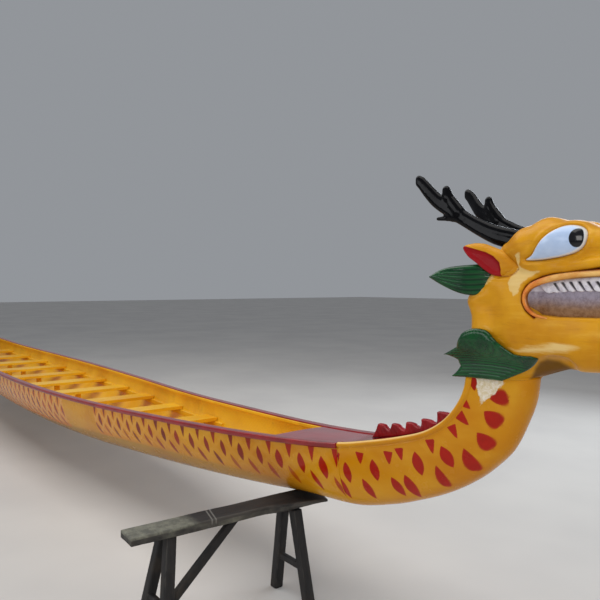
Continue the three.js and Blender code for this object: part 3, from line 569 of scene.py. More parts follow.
def neck_gelcoat():
    """End pieces: painted scales listed one by one, a rough pale patch where the neck meets the head, and
    painted highlight and shade along the bead.
    """
    shader = Shader("neck_gelcoat", coat=0.10, specular=0.18)
    ragged = (shader.noise(120, 3) - 0.5) * 0.004
    mark = shader.painted("mark") + ragged
    soft = shader.painted("soft")
    crisp = mark.rise(-0.0008, 0.0012)
    sprayed = mark.rise(-0.010, 0.009)
    share = sprayed * soft + crisp * (soft * -1 + 1)
    red = shader.mix(shader.noise(30, 3), SCALE_RED, SCALE_DARK)
    low = shader.painted("low").rise(0.0, 1.0)
    roll = shader.painted("roll")
    ground = shader.mix(low * 0.45, gelcoat_ground(shader), HULL_DEEP)
    # Painted highlight on the bead's outer top and painted shade along its inner side, from roll
    ground = shader.mix(roll.rise(0.0, 0.8) * 0.6, ground, paint(248, 222, 150))
    ground = shader.mix(roll.rise(0.0, -0.8) * 0.5, ground, paint(196, 96, 52))
    painted = shader.mix(share * 0.97, ground, red)
    # Rough pale patch where the neck meets the head, drawn from its outline
    edge = (shader.noise(48, 4) - 0.5) * 0.035
    filler = (shader.painted("filler") + edge).rise(-0.003, 0.004)
    grit = shader.noise(90, 5, 0.7)
    cream = shader.mix(grit.rise(0.35, 0.65), paint(240, 230, 214), paint(218, 200, 160))
    shader.colour(shader.mix(filler, painted, cream))
    gelcoat_gloss(shader, filler * 0.5)
    shader.bump(grit * filler, 0.004, 0.8)
    return shader.material


def glossy(name, base, second, roughness, coat, scale, wear=None, specular=0.3, grain=0.3):
    """Brushed gloss paint in two tones, with dust and small ripples."""
    shader = Shader(name, coat=coat, specular=specular)
    colour = shader.mix(shader.noise(scale, 4).rise(0.32, 0.7), base, second)
    if wear is not None:
        colour = shader.mix(shader.noise(scale * 5, 5, 0.7).rise(0.62, 0.78) * 0.5, colour, wear)
    shader.colour(colour)
    shader.rough(shader.dusty(scale * 3, 4, 0.14, roughness - 0.06))
    shader.bump(shader.noise(9, 2), 0.002, 0.3)
    if grain:
        shader.bump(shader.noise(160, 2), 0.0004, grain)
    return shader.material


def weave(shader, scale):
    x, y, z = shader.split(shader.place)
    return (x * scale).math("SINE") * ((y + z) * scale).math("SINE")


def inside_laminate():
    """Semi-gloss yellow laminate inside, with the cloth's weave showing and dust in patches."""
    shader = Shader("inside_laminate", coat=0.1)
    cloud = shader.noise(2.4, 5).rise(0.35, 0.7)
    base = shader.mix(cloud, paint(238, 186, 38), paint(222, 160, 22))
    dirt = shader.noise(7, 6, 0.7).rise(0.55, 0.8)
    shader.colour(shader.mix(dirt * 0.4, base, paint(170, 124, 52)))
    shader.rough(shader.dusty(20, 4, 0.2, 0.28))
    shader.bump(weave(shader, 150), 0.0006, 0.35)
    shader.bump(shader.noise(4, 3), 0.004, 0.4)
    return shader.material


def dragon_paint():
    """Head: hand-brushed yellow in pale and dark strokes, with creases, pale patches, a pale band on the jaw,
    painted highlight along the cheek rim and above the mane leaf, and painted shade under the jaw.
    """
    shader = Shader("dragon_paint", coat=0.0, specular=0.20)
    cloud = shader.noise(5, 4).rise(0.35, 0.7)
    strokes = shader.noise(26, 5, 0.65, stretch=(0.22, 0.6, 1.6))
    base = shader.mix(cloud, paint(216, 154, 20), paint(196, 130, 14))
    base = shader.mix(strokes.rise(0.5, 0.78) * 0.5, base, paint(228, 178, 62))
    base = shader.mix(strokes.rise(0.47, 0.27) * 0.5, base, paint(172, 108, 18))
    base = shader.mix(shader.split(shader.place)[2].rise(1.47, 1.37), base, gelcoat_ground(shader))
    # Cream: painted highlight along the cheek rim and above the mane leaf, and a pale band on the jaw
    cream = (shader.painted("cream") + (strokes - 0.5) * 0.07).rise(-0.004, 0.022)
    base = shader.mix(cream * 0.8, base, paint(238, 208, 140))
    # Pale patch between the ear, the eye and the mouth, drawn from its outline
    ragged = (shader.noise(55, 4) - 0.5) * 0.02
    filler = (shader.painted("filler") + ragged).rise(-0.002, 0.004)
    base = shader.mix(filler * 0.92, base, shader.mix(strokes, paint(240, 214, 150), paint(214, 170, 84)))
    shade = shader.painted("shade")
    base = shader.mix(shade.rise(0.0, 1.0) * 0.85, base, paint(84, 52, 8))
    base = shader.mix(shader.painted("crease").rise(0.12, 0.75), base, paint(120, 34, 12))
    red = shader.painted("red").rise(-0.001, 0.001)
    crimson = shader.mix(shader.noise(12, 3), paint(168, 16, 26), paint(132, 8, 18))
    shader.colour(shader.mix(red, base, crimson))
    shader.rough(shader.dusty(22, 4, 0.2, 0.28) + (filler + shade) * 0.3)
    shader.bump(strokes, 0.0016, 0.35)
    shader.bump(shader.noise(8, 2), 0.003, 0.35)
    return shader.material


def eye_paint():
    """Glossy cool white with a black pupil."""
    shader = Shader("eye_paint", coat=0.3)
    tone = shader.noise(9, 3).rise(0.35, 0.7)
    white = shader.mix(tone, paint(204, 222, 248), paint(176, 198, 232))
    pupil = shader.painted("pupil").rise(-0.0008, 0.0008)
    rim = shader.painted("rim").rise(0.0, 1.0)
    white = shader.mix(rim * 0.7, white, paint(240, 236, 224))
    shader.colour(shader.mix(pupil, white, paint(10, 10, 14)))
    shader.rough(tone * 0.06 + 0.10)
    shader.bump(shader.noise(11, 2), 0.0012, 0.3)
    return shader.material


def lip_paint():
    """Brushed roll: orange round the corner of the mouth, buff forward of it, with a dark red line on its
    side away from the mouth and painted shade on its side next to it.
    """
    shader = Shader("lip_paint", coat=0.2)
    strokes = shader.noise(40, 4, stretch=(0.5, 1, 1))
    tone = strokes.rise(0.35, 0.7)
    orange = shader.mix(tone, paint(228, 138, 44), paint(200, 98, 26))
    buff = shader.mix(tone, paint(240, 192, 112), paint(216, 150, 66))
    base = shader.mix(shader.split(shader.place)[0].rise(6.42, 6.52), orange, buff)
    edge = shader.painted("edge")
    # Painted shade on the side next to the mouth; a dark red line on the side away from it
    base = shader.mix(edge.rise(-0.35, -0.95) * 0.8, base, paint(104, 60, 14))
    shader.colour(shader.mix(edge.rise(0.25, 0.9) * 0.9, base, paint(126, 36, 10)))
    shader.rough(strokes * 0.2 + 0.2)
    shader.bump(strokes, 0.001, 0.4)
    return shader.material


def tooth_paint():
    """Glossy cool white, black in the gaps."""
    shader = Shader("tooth_paint", coat=0.4)
    stain = shader.noise(60, 4).rise(0.4, 0.72)
    white = shader.mix(stain, paint(232, 230, 238), paint(196, 192, 206))
    shader.colour(shader.mix(shader.painted("gap").rise(0.1, 0.9) * 0.9, white, paint(16, 12, 14)))
    shader.rough(stain * 0.1 + 0.16)
    shader.bump(shader.noise(50, 3), 0.0008, 0.4)
    return shader.material


def mouth_paint():
    """Lavender grey above, fading to brown at the jaw, with white smeared past the teeth."""
    shader = Shader("mouth_paint", coat=0.15)
    z = shader.split(shader.place)[2]
    speck = shader.noise(70, 5, 0.7)
    tone = speck.rise(0.35, 0.7)
    grey = shader.mix(tone, paint(156, 148, 164), paint(128, 118, 132))
    brown = shader.mix(tone, paint(150, 116, 84), paint(120, 84, 50))
    low = (z + (shader.noise(9, 3) - 0.5) * 0.03).rise(1.655, 1.605)
    smear = (shader.painted("smear") + (shader.noise(45, 4) - 0.5) * 0.8).rise(0.2, 0.7)
    shader.colour(shader.mix(smear * 0.75, shader.mix(low, grey, brown), paint(226, 222, 234)))
    shader.rough(speck * 0.2 + 0.28)
    shader.bump(speck, 0.001, 0.3)
    return shader.material


def leaf_paint():
    """Glossy dark green over carved ribs, with painted shade in the grooves."""
    shader = Shader("leaf_paint", coat=0.25, specular=0.25)
    tone = shader.noise(10, 4).rise(0.35, 0.7)
    green = shader.mix(tone, paint(14, 80, 36), paint(8, 56, 28))
    # Painted shade in the grooves
    shader.colour(shader.mix(shader.painted("groove").rise(0.1, 1.0) * 0.75, green, paint(3, 28, 16)))
    shader.rough(shader.dusty(26, 3, 0.12, 0.14))
    shader.bump(shader.noise(40, 2), 0.0012, 0.35)
    return shader.material


def old_timber(name, stretch):
    """Dark weathered timber with grain, cracks and rubbed edges."""
    shader = Shader(name)
    grain = shader.noise(14, 6, 0.68, stretch=stretch)
    base = shader.mix(grain.rise(0.3, 0.72), paint(24, 24, 26), paint(50, 48, 47))
    blotch = shader.noise(5, 4).rise(0.52, 0.72)
    base = shader.mix(blotch * 0.4, base, paint(72, 64, 54))
    rub = shader.painted("rub").rise(0.15, 0.9)
    base = shader.mix(rub * grain.rise(0.42, 0.62) * 0.4, base, paint(96, 92, 86))
    # Pale end of the plank: weathered grey wood, and painted light where it lies out of the hull's shadow
    pale = (shader.painted("pale") + (shader.noise(9, 4) - 0.5) * 0.12).rise(-0.02, 0.05)
    flake = shader.noise(22, 6, 0.75)
    weathered_and_lit = shader.mix(flake.rise(0.35, 0.65), paint(92, 92, 84), paint(128, 128, 114))
    base = shader.mix(pale * 0.85, base, weathered_and_lit)
    crack = shader.painted("crack").rise(0.3, 0.9)
    base = shader.mix(crack * 0.7, base, paint(140, 138, 132))
    shader.colour(base)
    shader.rough(grain * 0.3 + 0.55)
    shader.bump(grain, 0.004, 0.7)
    shader.bump(shader.noise(90, 4), 0.001, 0.5)
    return shader.material


# Lines of the whole boat, from the stern neck to the bow neck
def boat_lines():
    fore = np.array([(x, gunwale, x, keel, half) for x, half, gunwale, keel in HULL_ROWS] + NECK_ROWS)
    aft = fore[:0:-1] * (-1, 1, -1, 1, 1)
    table = np.concatenate([aft, fore])
    middle = (table[:, :2] + table[:, 2:4]) / 2
    run = np.r_[0, np.cumsum(np.linalg.norm(np.diff(middle, axis=0), axis=1))]
    run -= run[len(aft)]
    return np.c_[run, table], run[len(aft) + len(HULL_ROWS) - 1], run[-1]


LINES, RUN_SEAM, RUN_TOP = boat_lines()


class Frames:
    """Cross sections at places along the boat: a point is across the boat and down from the back edge."""

    def __init__(self, runs):
        back_x, back_z, front_x, front_z, self.half = through(LINES, runs)
        self.back = np.stack([back_x, back_z], 1)
        way = np.stack([front_x, front_z], 1) - self.back
        self.depth = np.linalg.norm(way, axis=1)
        self.way = way / self.depth[:, None]

    def place(self, across, down):
        """Points of shape sections x points x 3 from arrays of the same shape."""
        x = self.back[:, :1] + self.way[:, :1] * down
        z = self.back[:, 1:] + self.way[:, 1:] * down
        return np.stack([x, across, z], 2)


def hull_curve(half, depth, angles):
    """Rounded section: across and down at angles from 0 at the starboard edge to pi at the port edge."""
    return -half * rounded(np.cos(angles)), depth * np.abs(rounded(np.sin(angles)))


def angle_at(depth, down):
    """Angle at which the section is that far down."""
    return np.arcsin(np.clip(down / depth, 0, 1) ** (HULL_POWER / 2))


def spread_angles(start, count):
    """Angles from start to pi minus start, one row for each section."""
    share = np.linspace(0, 1, count)[None, :]
    return start[:, None] + (math.pi - 2 * start[:, None]) * share


def girth_from_edges(points):
    """Distance round the section from the nearer edge."""
    step = np.linalg.norm(np.diff(points, axis=1), axis=2)
    run = np.concatenate([np.zeros((len(points), 1)), np.cumsum(step, axis=1)], 1)
    return np.minimum(run, run[:, -1:] - run)


BAND_ROWS = [
    # x, girth of the painted band's lower edge
    (0.00, 0.310), (1.00, 0.300), (1.88, 0.284), (2.76, 0.232), (3.55, 0.214),
    (4.05, 0.218), (4.80, 0.224), (5.20, 0.235), (SEAM_X, 0.268),
]
SCALE_FIRST = 5.352      # foremost scale of the top row on the main hull
SCALE_PITCH = 0.1655
SCALE_PITCH_AFT = 0.150
SCALE_CHANGE = 3.4       # where the pitch changes
TOP_ROW_SHARE = 0.235    # top row's place in the band
ROW_SPREAD = 0.59        # from the top row to the bottom row, as a share of the band


def scale_places(points, girth):
    """Place of each point in the scale pattern: along in scales, down in rows, girth in metres."""
    x = points[..., 0]
    fore = (x - SCALE_FIRST) / SCALE_PITCH
    aft = (SCALE_CHANGE - SCALE_FIRST) / SCALE_PITCH + (x - SCALE_CHANGE) / SCALE_PITCH_AFT
    along = np.where(x > SCALE_CHANGE, fore, aft)
    (band,) = through(BAND_ROWS, np.abs(x))
    return np.stack([along, (girth / band - TOP_ROW_SHARE) / ROW_SPREAD, girth], -1)


def build_shell(outside, inside):
    """Main hull: a moulded shell with a turned-in flange."""
    sections, count, flange = 261, 73, 4       # points round the outside, and in each flange's edge
    lines = Frames(np.linspace(-RUN_SEAM + SEAM_GAP, RUN_SEAM - SEAM_GAP, sections))
    half, depth = lines.half[:, None], lines.depth[:, None] - RAIL_CAP
    across, down = hull_curve(half, depth, spread_angles(np.zeros(len(lines.half)), count))
    outer = lines.place(across, down + RAIL_CAP)
    inner_depth = depth - SHELL_THICK
    start = angle_at(inner_depth, LIP_HIGH)[:, 0]
    in_across, in_down = hull_curve(half - SHELL_THICK, inner_depth, spread_angles(start, count - 2 * flange))
    turn = 0.004
    set_back = LIP_WIDE - turn
    edge = [(set_back, 0.0), (LIP_WIDE, turn), (LIP_WIDE, LIP_HIGH - turn), (set_back, LIP_HIGH)]
    lip_across = np.concatenate([-(half - w) for w, _ in edge], 1)
    lip_down = np.concatenate([np.full_like(half, d) for _, d in edge], 1)
    across = np.concatenate([lip_across, in_across, -lip_across[:, ::-1]], 1)
    down = np.concatenate([lip_down, in_down, lip_down[:, ::-1]], 1)
    inner = lines.place(across, down + RAIL_CAP)
    rings = np.concatenate([outer, inner[:, ::-1]], 1)
    number, around = rings.shape[:2]
    faces = grid_faces(number, around)
    slots = (np.tile(np.arange(around), number - 1) >= count - 1).astype(np.int32)
    caps = []
    for base in (0, (number - 1) * around):
        for k in range(count - 1):
            quad = [base + k, base + k + 1, base + around - 2 - k, base + around - 1 - k]
            caps.append(quad if base == 0 else quad[::-1])
    girth = girth_from_edges(outer) + RAIL_CAP
    places = np.zeros_like(rings)
    places[:, :count] = scale_places(outer, girth)
    places[:, count:, 2] = -1.0
    points, faces = outward(rings.reshape(-1, 3), [*faces.tolist(), *caps])
    slots = np.r_[slots, np.ones(len(caps), np.int32)]
    names = [f"hull_{part}_length" for part in ("stern", "aft", "middle", "fore", "bow")]
    add_piece("hull_shell", points, faces, [outside, inside], "hull_gelcoat", names,
              sharp=EDGE_ANGLE, face_slots=slots, scales=places.reshape(-1, 3))


def build_ledges(material):
    """Moulded ledges that carry the seat planks."""
    sections, sunk, turn = 161, 0.006, 0.006       # how deep it runs into the shell, and its edge's turn
    lines = Frames(np.linspace(-LEDGE_REACH, LEDGE_REACH, sections))
    top = SEAT_DROP + SEAT_THICK + CLEAR
    low = top + LEDGE_SIDE
    inner_depth = lines.depth - RAIL_CAP - SHELL_THICK
    wall = []
    for down in (top, low):
        angle = angle_at(inner_depth, down - RAIL_CAP)
        wall.append((lines.half - SHELL_THICK) * rounded(np.cos(angle)) + sunk)
    face = lines.half - SHELL_THICK - LEDGE_SIDE
    across = np.stack([wall[0], face + turn, face, face, face + turn, wall[1]], 1)
    down = np.broadcast_to([top, top, top + turn, low - turn, low, low], across.shape)
    port = loft(lines.place(across, down))
    for side, body in (("port", port), ("starboard", mirrored(*port, 1))):
        add_piece(f"seat_ledge_{side}", *body, material, "inside_gelcoat", sharp=EDGE_ANGLE)


def build_rails(material):
    """Rounded rail over the flange's edge, with a skirt outside."""
    sections, top_round, low_round, bevel = 241, 0.009, 0.006, 0.003
    lines = Frames(np.linspace(-RUN_SEAM + SEAM_GAP, RUN_SEAM - SEAM_GAP, sections))
    inner = -LIP_WIDE + RAIL_SETBACK
    section = [(inner, RAIL_CAP), (inner, bevel), (inner + bevel, 0.0), (-0.02, -0.0006)]
    for turn in np.linspace(0, math.pi / 2, 6):
        section.append((RAIL_PROUD - top_round * (1 - math.sin(turn)), top_round * (1 - math.cos(turn))))
    for turn in np.linspace(0, math.pi / 2, 5):
        low = RAIL_DEEP - low_round * (1 - math.sin(turn))
        section.append((RAIL_PROUD - low_round * (1 - math.cos(turn)), low))
    section += [(0.0006, RAIL_DEEP), (0.0004, RAIL_CAP)]
    shape = np.array(section)
    across = lines.half[:, None] + shape[None, :, 0]
    points, faces = loft(lines.place(across, np.tile(shape[:, 1], (len(across), 1))))
    add_pair(both_sides("rail", "gunwale_rail"), points, faces, 1, material, "rail_red", sharp=EDGE_ANGLE)


# Painted scales of the bow piece in side view, from the tip at the start to the end
NECK_SCALES = [
    # shape, start x, z; end x, z; width; how sprayed its edge is
    ("hang", 5.366, 0.891, 5.364, 0.830, 0.046, 0.1),
    ("hang", 5.516, 0.920, 5.518, 0.865, 0.056, 0.1),
    ("hang", 5.688, 0.958, 5.692, 0.899, 0.056, 0.1),
    ("hang", 5.750, 0.985, 5.764, 0.932, 0.052, 0.1),
    ("hang", 5.916, 1.053, 5.930, 0.994, 0.050, 0.1),
    ("hang", 6.022, 1.129, 6.048, 1.080, 0.046, 0.1),
    ("hang", 6.056, 1.179, 6.102, 1.141, 0.048, 0.1),
    ("hang", 6.063, 1.239, 6.110, 1.207, 0.050, 0.2),
    ("hang", 6.116, 1.336, 6.128, 1.280, 0.060, 0.1),
    ("leaf", 5.419, 0.856, 5.432, 0.752, 0.052, 0.1),
    ("leaf", 5.593, 0.904, 5.609, 0.803, 0.056, 0.1),
    ("leaf", 5.837, 0.987, 5.859, 0.884, 0.058, 0.1),
    ("leaf", 5.971, 1.036, 6.014, 0.951, 0.060, 0.15),
    ("leaf", 5.365, 0.770, 5.398, 0.661, 0.044, 0.2),
    ("leaf", 5.516, 0.794, 5.559, 0.700, 0.052, 0.4),
    ("leaf", 5.691, 0.842, 5.735, 0.758, 0.054, 0.3),
    ("leaf", 5.768, 0.870, 5.802, 0.764, 0.060, 0.3),
    ("drop", 5.936, 0.947, 5.958, 0.852, 0.052, 0.6),
    ("drop", 6.072, 1.044, 6.100, 0.950, 0.064, 0.7),
    ("drop", 6.134, 1.118, 6.182, 1.058, 0.072, 0.8),
    ("drop", 6.166, 1.206, 6.226, 1.158, 0.072, 0.8),
    ("drop", 6.190, 1.256, 6.258, 1.272, 0.062, 0.9),
]
NECK_PALE_PATCH = [
    (6.126, 1.360), (6.131, 1.330), (6.138, 1.300), (6.142, 1.276), (6.150, 1.256), (6.157, 1.221),
    (6.175, 1.256), (6.196, 1.267), (6.220, 1.290), (6.238, 1.316), (6.246, 1.360),
]


def painted_scales(x, z):
    """Depth inside the nearest painted scale, and how sprayed its edge is."""
    best, soft = np.full(x.shape, -1.0), np.zeros(x.shape)
    for shape, ax, az, bx, bz, width, spray in NECK_SCALES:
        dx, dz = bx - ax, bz - az
        length = math.hypot(dx, dz)
        t = ((x - ax) * dx + (z - az) * dz) / length**2
        off = np.abs((x - ax) * dz - (z - az) * dx) / length
        inside = np.clip(t, 0, 1)
        share = {
            "leaf": 1 - (2 * inside - 1) ** 2,
            "hang": (1 - inside) ** 0.7,
            "drop": 2.28 * inside**0.9 * (1 - inside) ** 0.42,
        }[shape]
        past = np.maximum(-t, t - 1) * length
        depth = np.minimum(width / 2 * share - off, -past)
        soft = np.where(depth > best, spray * (0.25 + 0.75 * ease(t, 0.3, 0.8)), soft)
        best = np.maximum(best, depth)
    return best, soft


def build_ends(material):
    """End pieces: a solid-looking neck with a rolled bead along its upper edges."""
    sections, count, roll_foot = 189, 121, 0.030       # points round the side, and where it leaves the bead
    lines = Frames(np.linspace(RUN_SEAM + SEAM_GAP, RUN_TOP - CLEAR, sections))
    half, depth = lines.half[:, None], lines.depth[:, None]
    turns = np.radians(np.arange(65, -136, -20))
    bead = np.stack([BEAD_IN + BEAD_ROUND * np.sin(turns), BEAD_DOWN - BEAD_ROUND * np.cos(turns)], 1)
    groove = [(BEAD_WIDE, DECK_SINK + DECK_THICK + CLEAR), (BEAD_WIDE, 0.0048)]
    roll = np.array([*groove, *bead, (0.0030, 0.0232), (0.0020, 0.0262)])
    start = angle_at(depth, roll_foot)[:, 0]
    across, down = hull_curve(half, depth, spread_angles(start, count))
    roll_across = -(half - roll[None, :, 0])
    roll_down = np.tile(roll[:, 1], (len(half), 1))
    across = np.concatenate([roll_across, across, -roll_across[:, ::-1]], 1)
    down = np.concatenate([roll_down, down, roll_down[:, ::-1]], 1)
    rings = lines.place(across, down)
    points, faces = loft(rings)
    mark, soft = painted_scales(points[:, 0], points[:, 2])

    # No scale runs over the bead, and the step from it down to the deck is red
    on_bead = np.zeros(rings.shape[:2])
    on_bead[:, :len(roll)], on_bead[:, -len(roll):] = -1, -1
    on_bead[:, :2], on_bead[:, -2:] = 1, 1
    mark[: on_bead.size] = np.where(on_bead.ravel() == 0, mark[: on_bead.size], on_bead.ravel() * 0.01)

    # Painted highlight along the bead's outer top, painted shade along its inner side
    light = bell(turns + 0.62, 0.42) - bell(turns - 0.75, 0.35)
    bead_highlight_shade = np.zeros(rings.shape[:2])
    bead_highlight_shade[:, 2:2 + len(turns)], bead_highlight_shade[:, -2 - len(turns):-2] = light, light[::-1]

    filler = -outline_distance(points[:, 0], points[:, 2], NECK_PALE_PATCH)
    low = ease((down / depth).ravel(), 0.75, 1.0)
    add_pair([("bow_neck", "bow_piece"), ("stern_neck", "stern_piece")], points, faces, 0, material,
             "hull_gelcoat", mark=mark, soft=soft, filler=filler, low=np.r_[low, 0, 0],
             roll=np.r_[bead_highlight_shade.ravel(), 0, 0])


def build_decks(material):
    """Cambered deck panels that run on up the necks between the beads."""
    on_hull, up_neck = np.linspace(DECK_AFT, RUN_SEAM, 24), np.linspace(RUN_SEAM, RUN_TOP - 0.001, 80)
    lines = Frames(np.r_[on_hull[:-1], up_neck])
    seam_half = HULL_ROWS[-1][1] - LIP_WIDE
    on_neck = lines.back[:, 0] > SEAM_X
    half = np.where(on_neck, np.minimum(seam_half, lines.half - BEAD_WIDE), lines.half - LIP_WIDE) - 0.0006
    share = np.linspace(-1, 1, 13)
    over = DECK_SINK - DECK_CAMBER * (1 - share**2)
    under = np.full(2, DECK_SINK + DECK_THICK)
    across = half[:, None] * np.r_[share, 1, -1][None, :]
    rings = lines.place(across, np.tile(np.r_[over, under], (len(half), 1)))
    points, faces = loft(rings)
    add_pair([("foredeck_panel", "foredeck"), ("aft_deck_panel", "aft_deck")], points, faces, 0, material,
             "deck_red", sharp=EDGE_ANGLE)


# Side-view plates: flames, fins and leaves
def arched(outline, bulges):
    """Outline with each edge bent into an arc; a bulge is the arc's height as a share of the edge."""
    made = []
    for k, (a, b) in enumerate(zip(outline, [*outline[1:], outline[0]])):
        bulge = bulges[k % len(bulges)]
        dx, dz = b[0] - a[0], b[1] - a[1]
        for t in [0] if bulge == 0 else np.arange(6) / 6:
            rise = 4 * t * (1 - t) * bulge
            made.append((a[0] + dx * t + dz * rise, a[1] + dz * t - dx * rise))
    return made


def flat(x, z):
    """Middle of a plate that stands on the boat's centre line, or the grooves of a smooth one."""
    return 0 * x


def plate(outline, middle, thick, edge, ribs=flat):
    """Field of a pillow-shaped plate. ribs gives a groove depth at each point of the side view."""
    def field(x, y, z):
        rim = outline_distance(x, z, outline)
        share = np.clip(-rim / edge, 0, 1)
        swell = thick * np.sqrt(share * (2 - share)) - ribs(x, z) * share
        return np.maximum(rim, (np.abs(y - middle(x, z)) - swell) * 0.8)

    return field


def carve_plate(outline, middle, reach_y, thick, edge, ribs, step):
    """Points and faces of a plate, and how deep each point lies in a groove, from 0 to 1."""
    table = np.array(outline)
    low = (table[:, 0].min(), reach_y[0], table[:, 1].min())
    high = (table[:, 0].max(), reach_y[1], table[:, 1].max())
    points, faces = carve(plate(outline, middle, thick, edge, ribs), low, high, step)
    groove = ribs(points[:, 0], points[:, 2])
    return points, faces, groove / groove.max()


CREST_ROWS = [
    # notch behind the flame x, z; flat top from x to x, and its z
    (5.446, 0.954, 5.490, 5.530, 1.030),
    (5.568, 1.012, 5.581, 5.620, 1.046),
    (5.665, 1.030, 5.670, 5.718, 1.068),
    (5.760, 1.059, 5.762, 5.820, 1.098),
    (5.851, 1.096, 5.852, 5.922, 1.144),
]
CREST_BENDS = [0.04, -0.04, 0.10]          # of a flame's back, top and front edge
CREST_FOOT = [5.935, 5.886, 5.763, 5.600, CREST_ROWS[0][0]]    # x of the points where it stands on the deck
CREST_HALF = 0.017
CREST_ROUND = 0.0065     # breadth of the rounded border


def deck_height(x):
    """Top of the deck between the beads of the bow piece."""
    table = np.array([(SEAM_X, HULL_ROWS[-1][2]), *[(row[0], row[1]) for row in NECK_ROWS]])
    return float(np.interp(x, table[:, 0], table[:, 1])) - DECK_SINK


def build_crests(material):
    """Saw-toothed row of flames on each nape."""
    outline, bends = [], []
    for notch, low, aft, fore, top in CREST_ROWS:
        outline += [(notch, low), (aft, top), (fore, top)]
        bends += CREST_BENDS
    for x in CREST_FOOT:
        outline.append((x, deck_height(x) + 0.0005))
        bends.append(0)
    shape = arched(outline, bends)

    def grooves(x, z):
        deep, pitch = 0.0016, 0.030
        return deep * np.clip(np.cos((x * 0.9 + z * 0.5) * 2 * math.pi / pitch), 0, 1)

    points, faces, groove = carve_plate(
        shape, flat, (-0.03, 0.03), CREST_HALF, CREST_ROUND, grooves, CREST_STEP)
    add_pair([("bow_flames", "bow_crest"), ("stern_flames", "stern_crest")], points, faces, 0, material,
             "flame_red", groove=groove)


# Head
HEAD_ROWS = [
    # x, low, high, half-breadth
    (6.150, 1.560, 1.710, 0.096),
    (6.190, 1.500, 1.760, 0.132),
    (6.250, 1.440, 1.822, 0.148),
    (6.330, 1.405, 1.875, 0.168),
    (6.420, 1.395, 1.908, 0.176),
    (6.510, 1.392, 1.913, 0.176),
    (6.600, 1.392, 1.886, 0.168),
    (6.700, 1.400, 1.848, 0.152),
    (6.800, 1.412, 1.812, 0.140),
    (6.900, 1.430, 1.792, 0.134),
    (7.000, 1.452, 1.798, 0.130),
    (7.080, 1.482, 1.790, 0.118),
    (7.150, 1.530, 1.756, 0.090),
    (7.185, 1.590, 1.712, 0.046),
]
HEAD_POWER = 2.5
HEAD_SPIGOT = 0.010      # how far the head reaches down inside the neck
THROAT_ROWS = [
    # z, back x, front x, half-breadth
    (NECK_TOP, 6.086, 6.330, 0.112),
    (1.356, 6.088, 6.360, 0.113),
    (1.374, 6.090, 6.406, 0.114),
    (1.395, 6.095, 6.452, 0.116),
    (1.430, 6.100, 6.530, 0.120),
    (1.520, 6.122, 6.555, 0.132),
    (1.620, 6.160, 6.520, 0.140),
]
MOUTH_ROOF = [(6.400, 1.697), (6.468, 1.716), (6.652, 1.722), (6.850, 1.720), (7.000, 1.705), (7.080, 1.688)]
MOUTH_FLOOR = [(7.080, 1.548), (6.850, 1.570), (6.652, 1.584), (6.500, 1.582), (6.430, 1.588)]
MOUTH_CORNER = [(6.398, 1.615), (6.386, 1.655)]
MOUTH_FRONT = [(7.300, 1.640), (7.300, 1.548)]
EYE_OUTLINE = [
    (6.392, 1.776), (6.418, 1.794), (6.441, 1.818), (6.463, 1.842), (6.492, 1.868), (6.521, 1.885),
    (6.547, 1.889), (6.574, 1.883), (6.596, 1.864), (6.601, 1.844), (6.594, 1.818), (6.573, 1.799),
    (6.543, 1.788), (6.493, 1.779), (6.440, 1.773),
]
PUPIL = (6.577, 1.843, 0.0195, 0.031)    # x, z, half-breadth, half-height
CREASE = [
    (7.060, 1.722), (6.900, 1.752), (6.750, 1.758), (6.651, 1.742), (6.598, 1.734), (6.541, 1.727),
    (6.492, 1.723), (6.448, 1.714), (6.414, 1.700), (6.393, 1.684), (6.381, 1.658), (6.381, 1.630),
    (6.396, 1.602), (6.424, 1.579),
]
EAR_CREASE = [(6.275, 1.720), (6.315, 1.721), (6.342, 1.731), (6.356, 1.746)]
BROW_CREASE = [(6.281, 1.821), (6.310, 1.798), (6.335, 1.775), (6.351, 1.759)]
RIM_LIGHT = [(6.256, 1.732), (6.234, 1.708), (6.206, 1.680), (6.180, 1.656), (6.152, 1.640)]
LEAF_LIGHT = [(6.226, 1.538), (6.259, 1.512), (6.299, 1.481), (6.340, 1.458)]
JAW_HOLLOW = [
    (6.372, 1.330), (6.394, 1.400), (6.411, 1.428), (6.445, 1.444), (6.497, 1.438), (6.548, 1.416),
    (6.620, 1.370),
]
BROW = [
    # x, y, z, radius
    (6.305, 0.130, 1.802, 0.045), (6.375, 0.130, 1.826, 0.064), (6.455, 0.125, 1.847, 0.071),
    (6.540, 0.115, 1.836, 0.062), (6.620, 0.105, 1.822, 0.048), (6.700, 0.095, 1.798, 0.040),
]
CHEEK_RIM = [
    (6.290, 0.130, 1.725, 0.022), (6.250, 0.142, 1.695, 0.029), (6.205, 0.140, 1.650, 0.037),
    (6.170, 0.146, 1.629, 0.035), (6.190, 0.132, 1.585, 0.046), (6.197, 0.124, 1.530, 0.054),
    (6.240, 0.100, 1.460, 0.050),
]
HEAD_PALE_PATCH = [
    (6.353, 1.795), (6.383, 1.803), (6.372, 1.772), (6.366, 1.760), (6.396, 1.742), (6.452, 1.736),
    (6.404, 1.717), (6.375, 1.689), (6.365, 1.658), (6.345, 1.652), (6.323, 1.682), (6.321, 1.706),
    (6.337, 1.729), (6.357, 1.753),
]
JAW_PALE_BAND = [
    (6.326, 1.459), (6.383, 1.472), (6.464, 1.488), (6.502, 1.504), (6.540, 1.502), (6.590, 1.484),
    (6.545, 1.458), (6.464, 1.455), (6.355, 1.447),
]
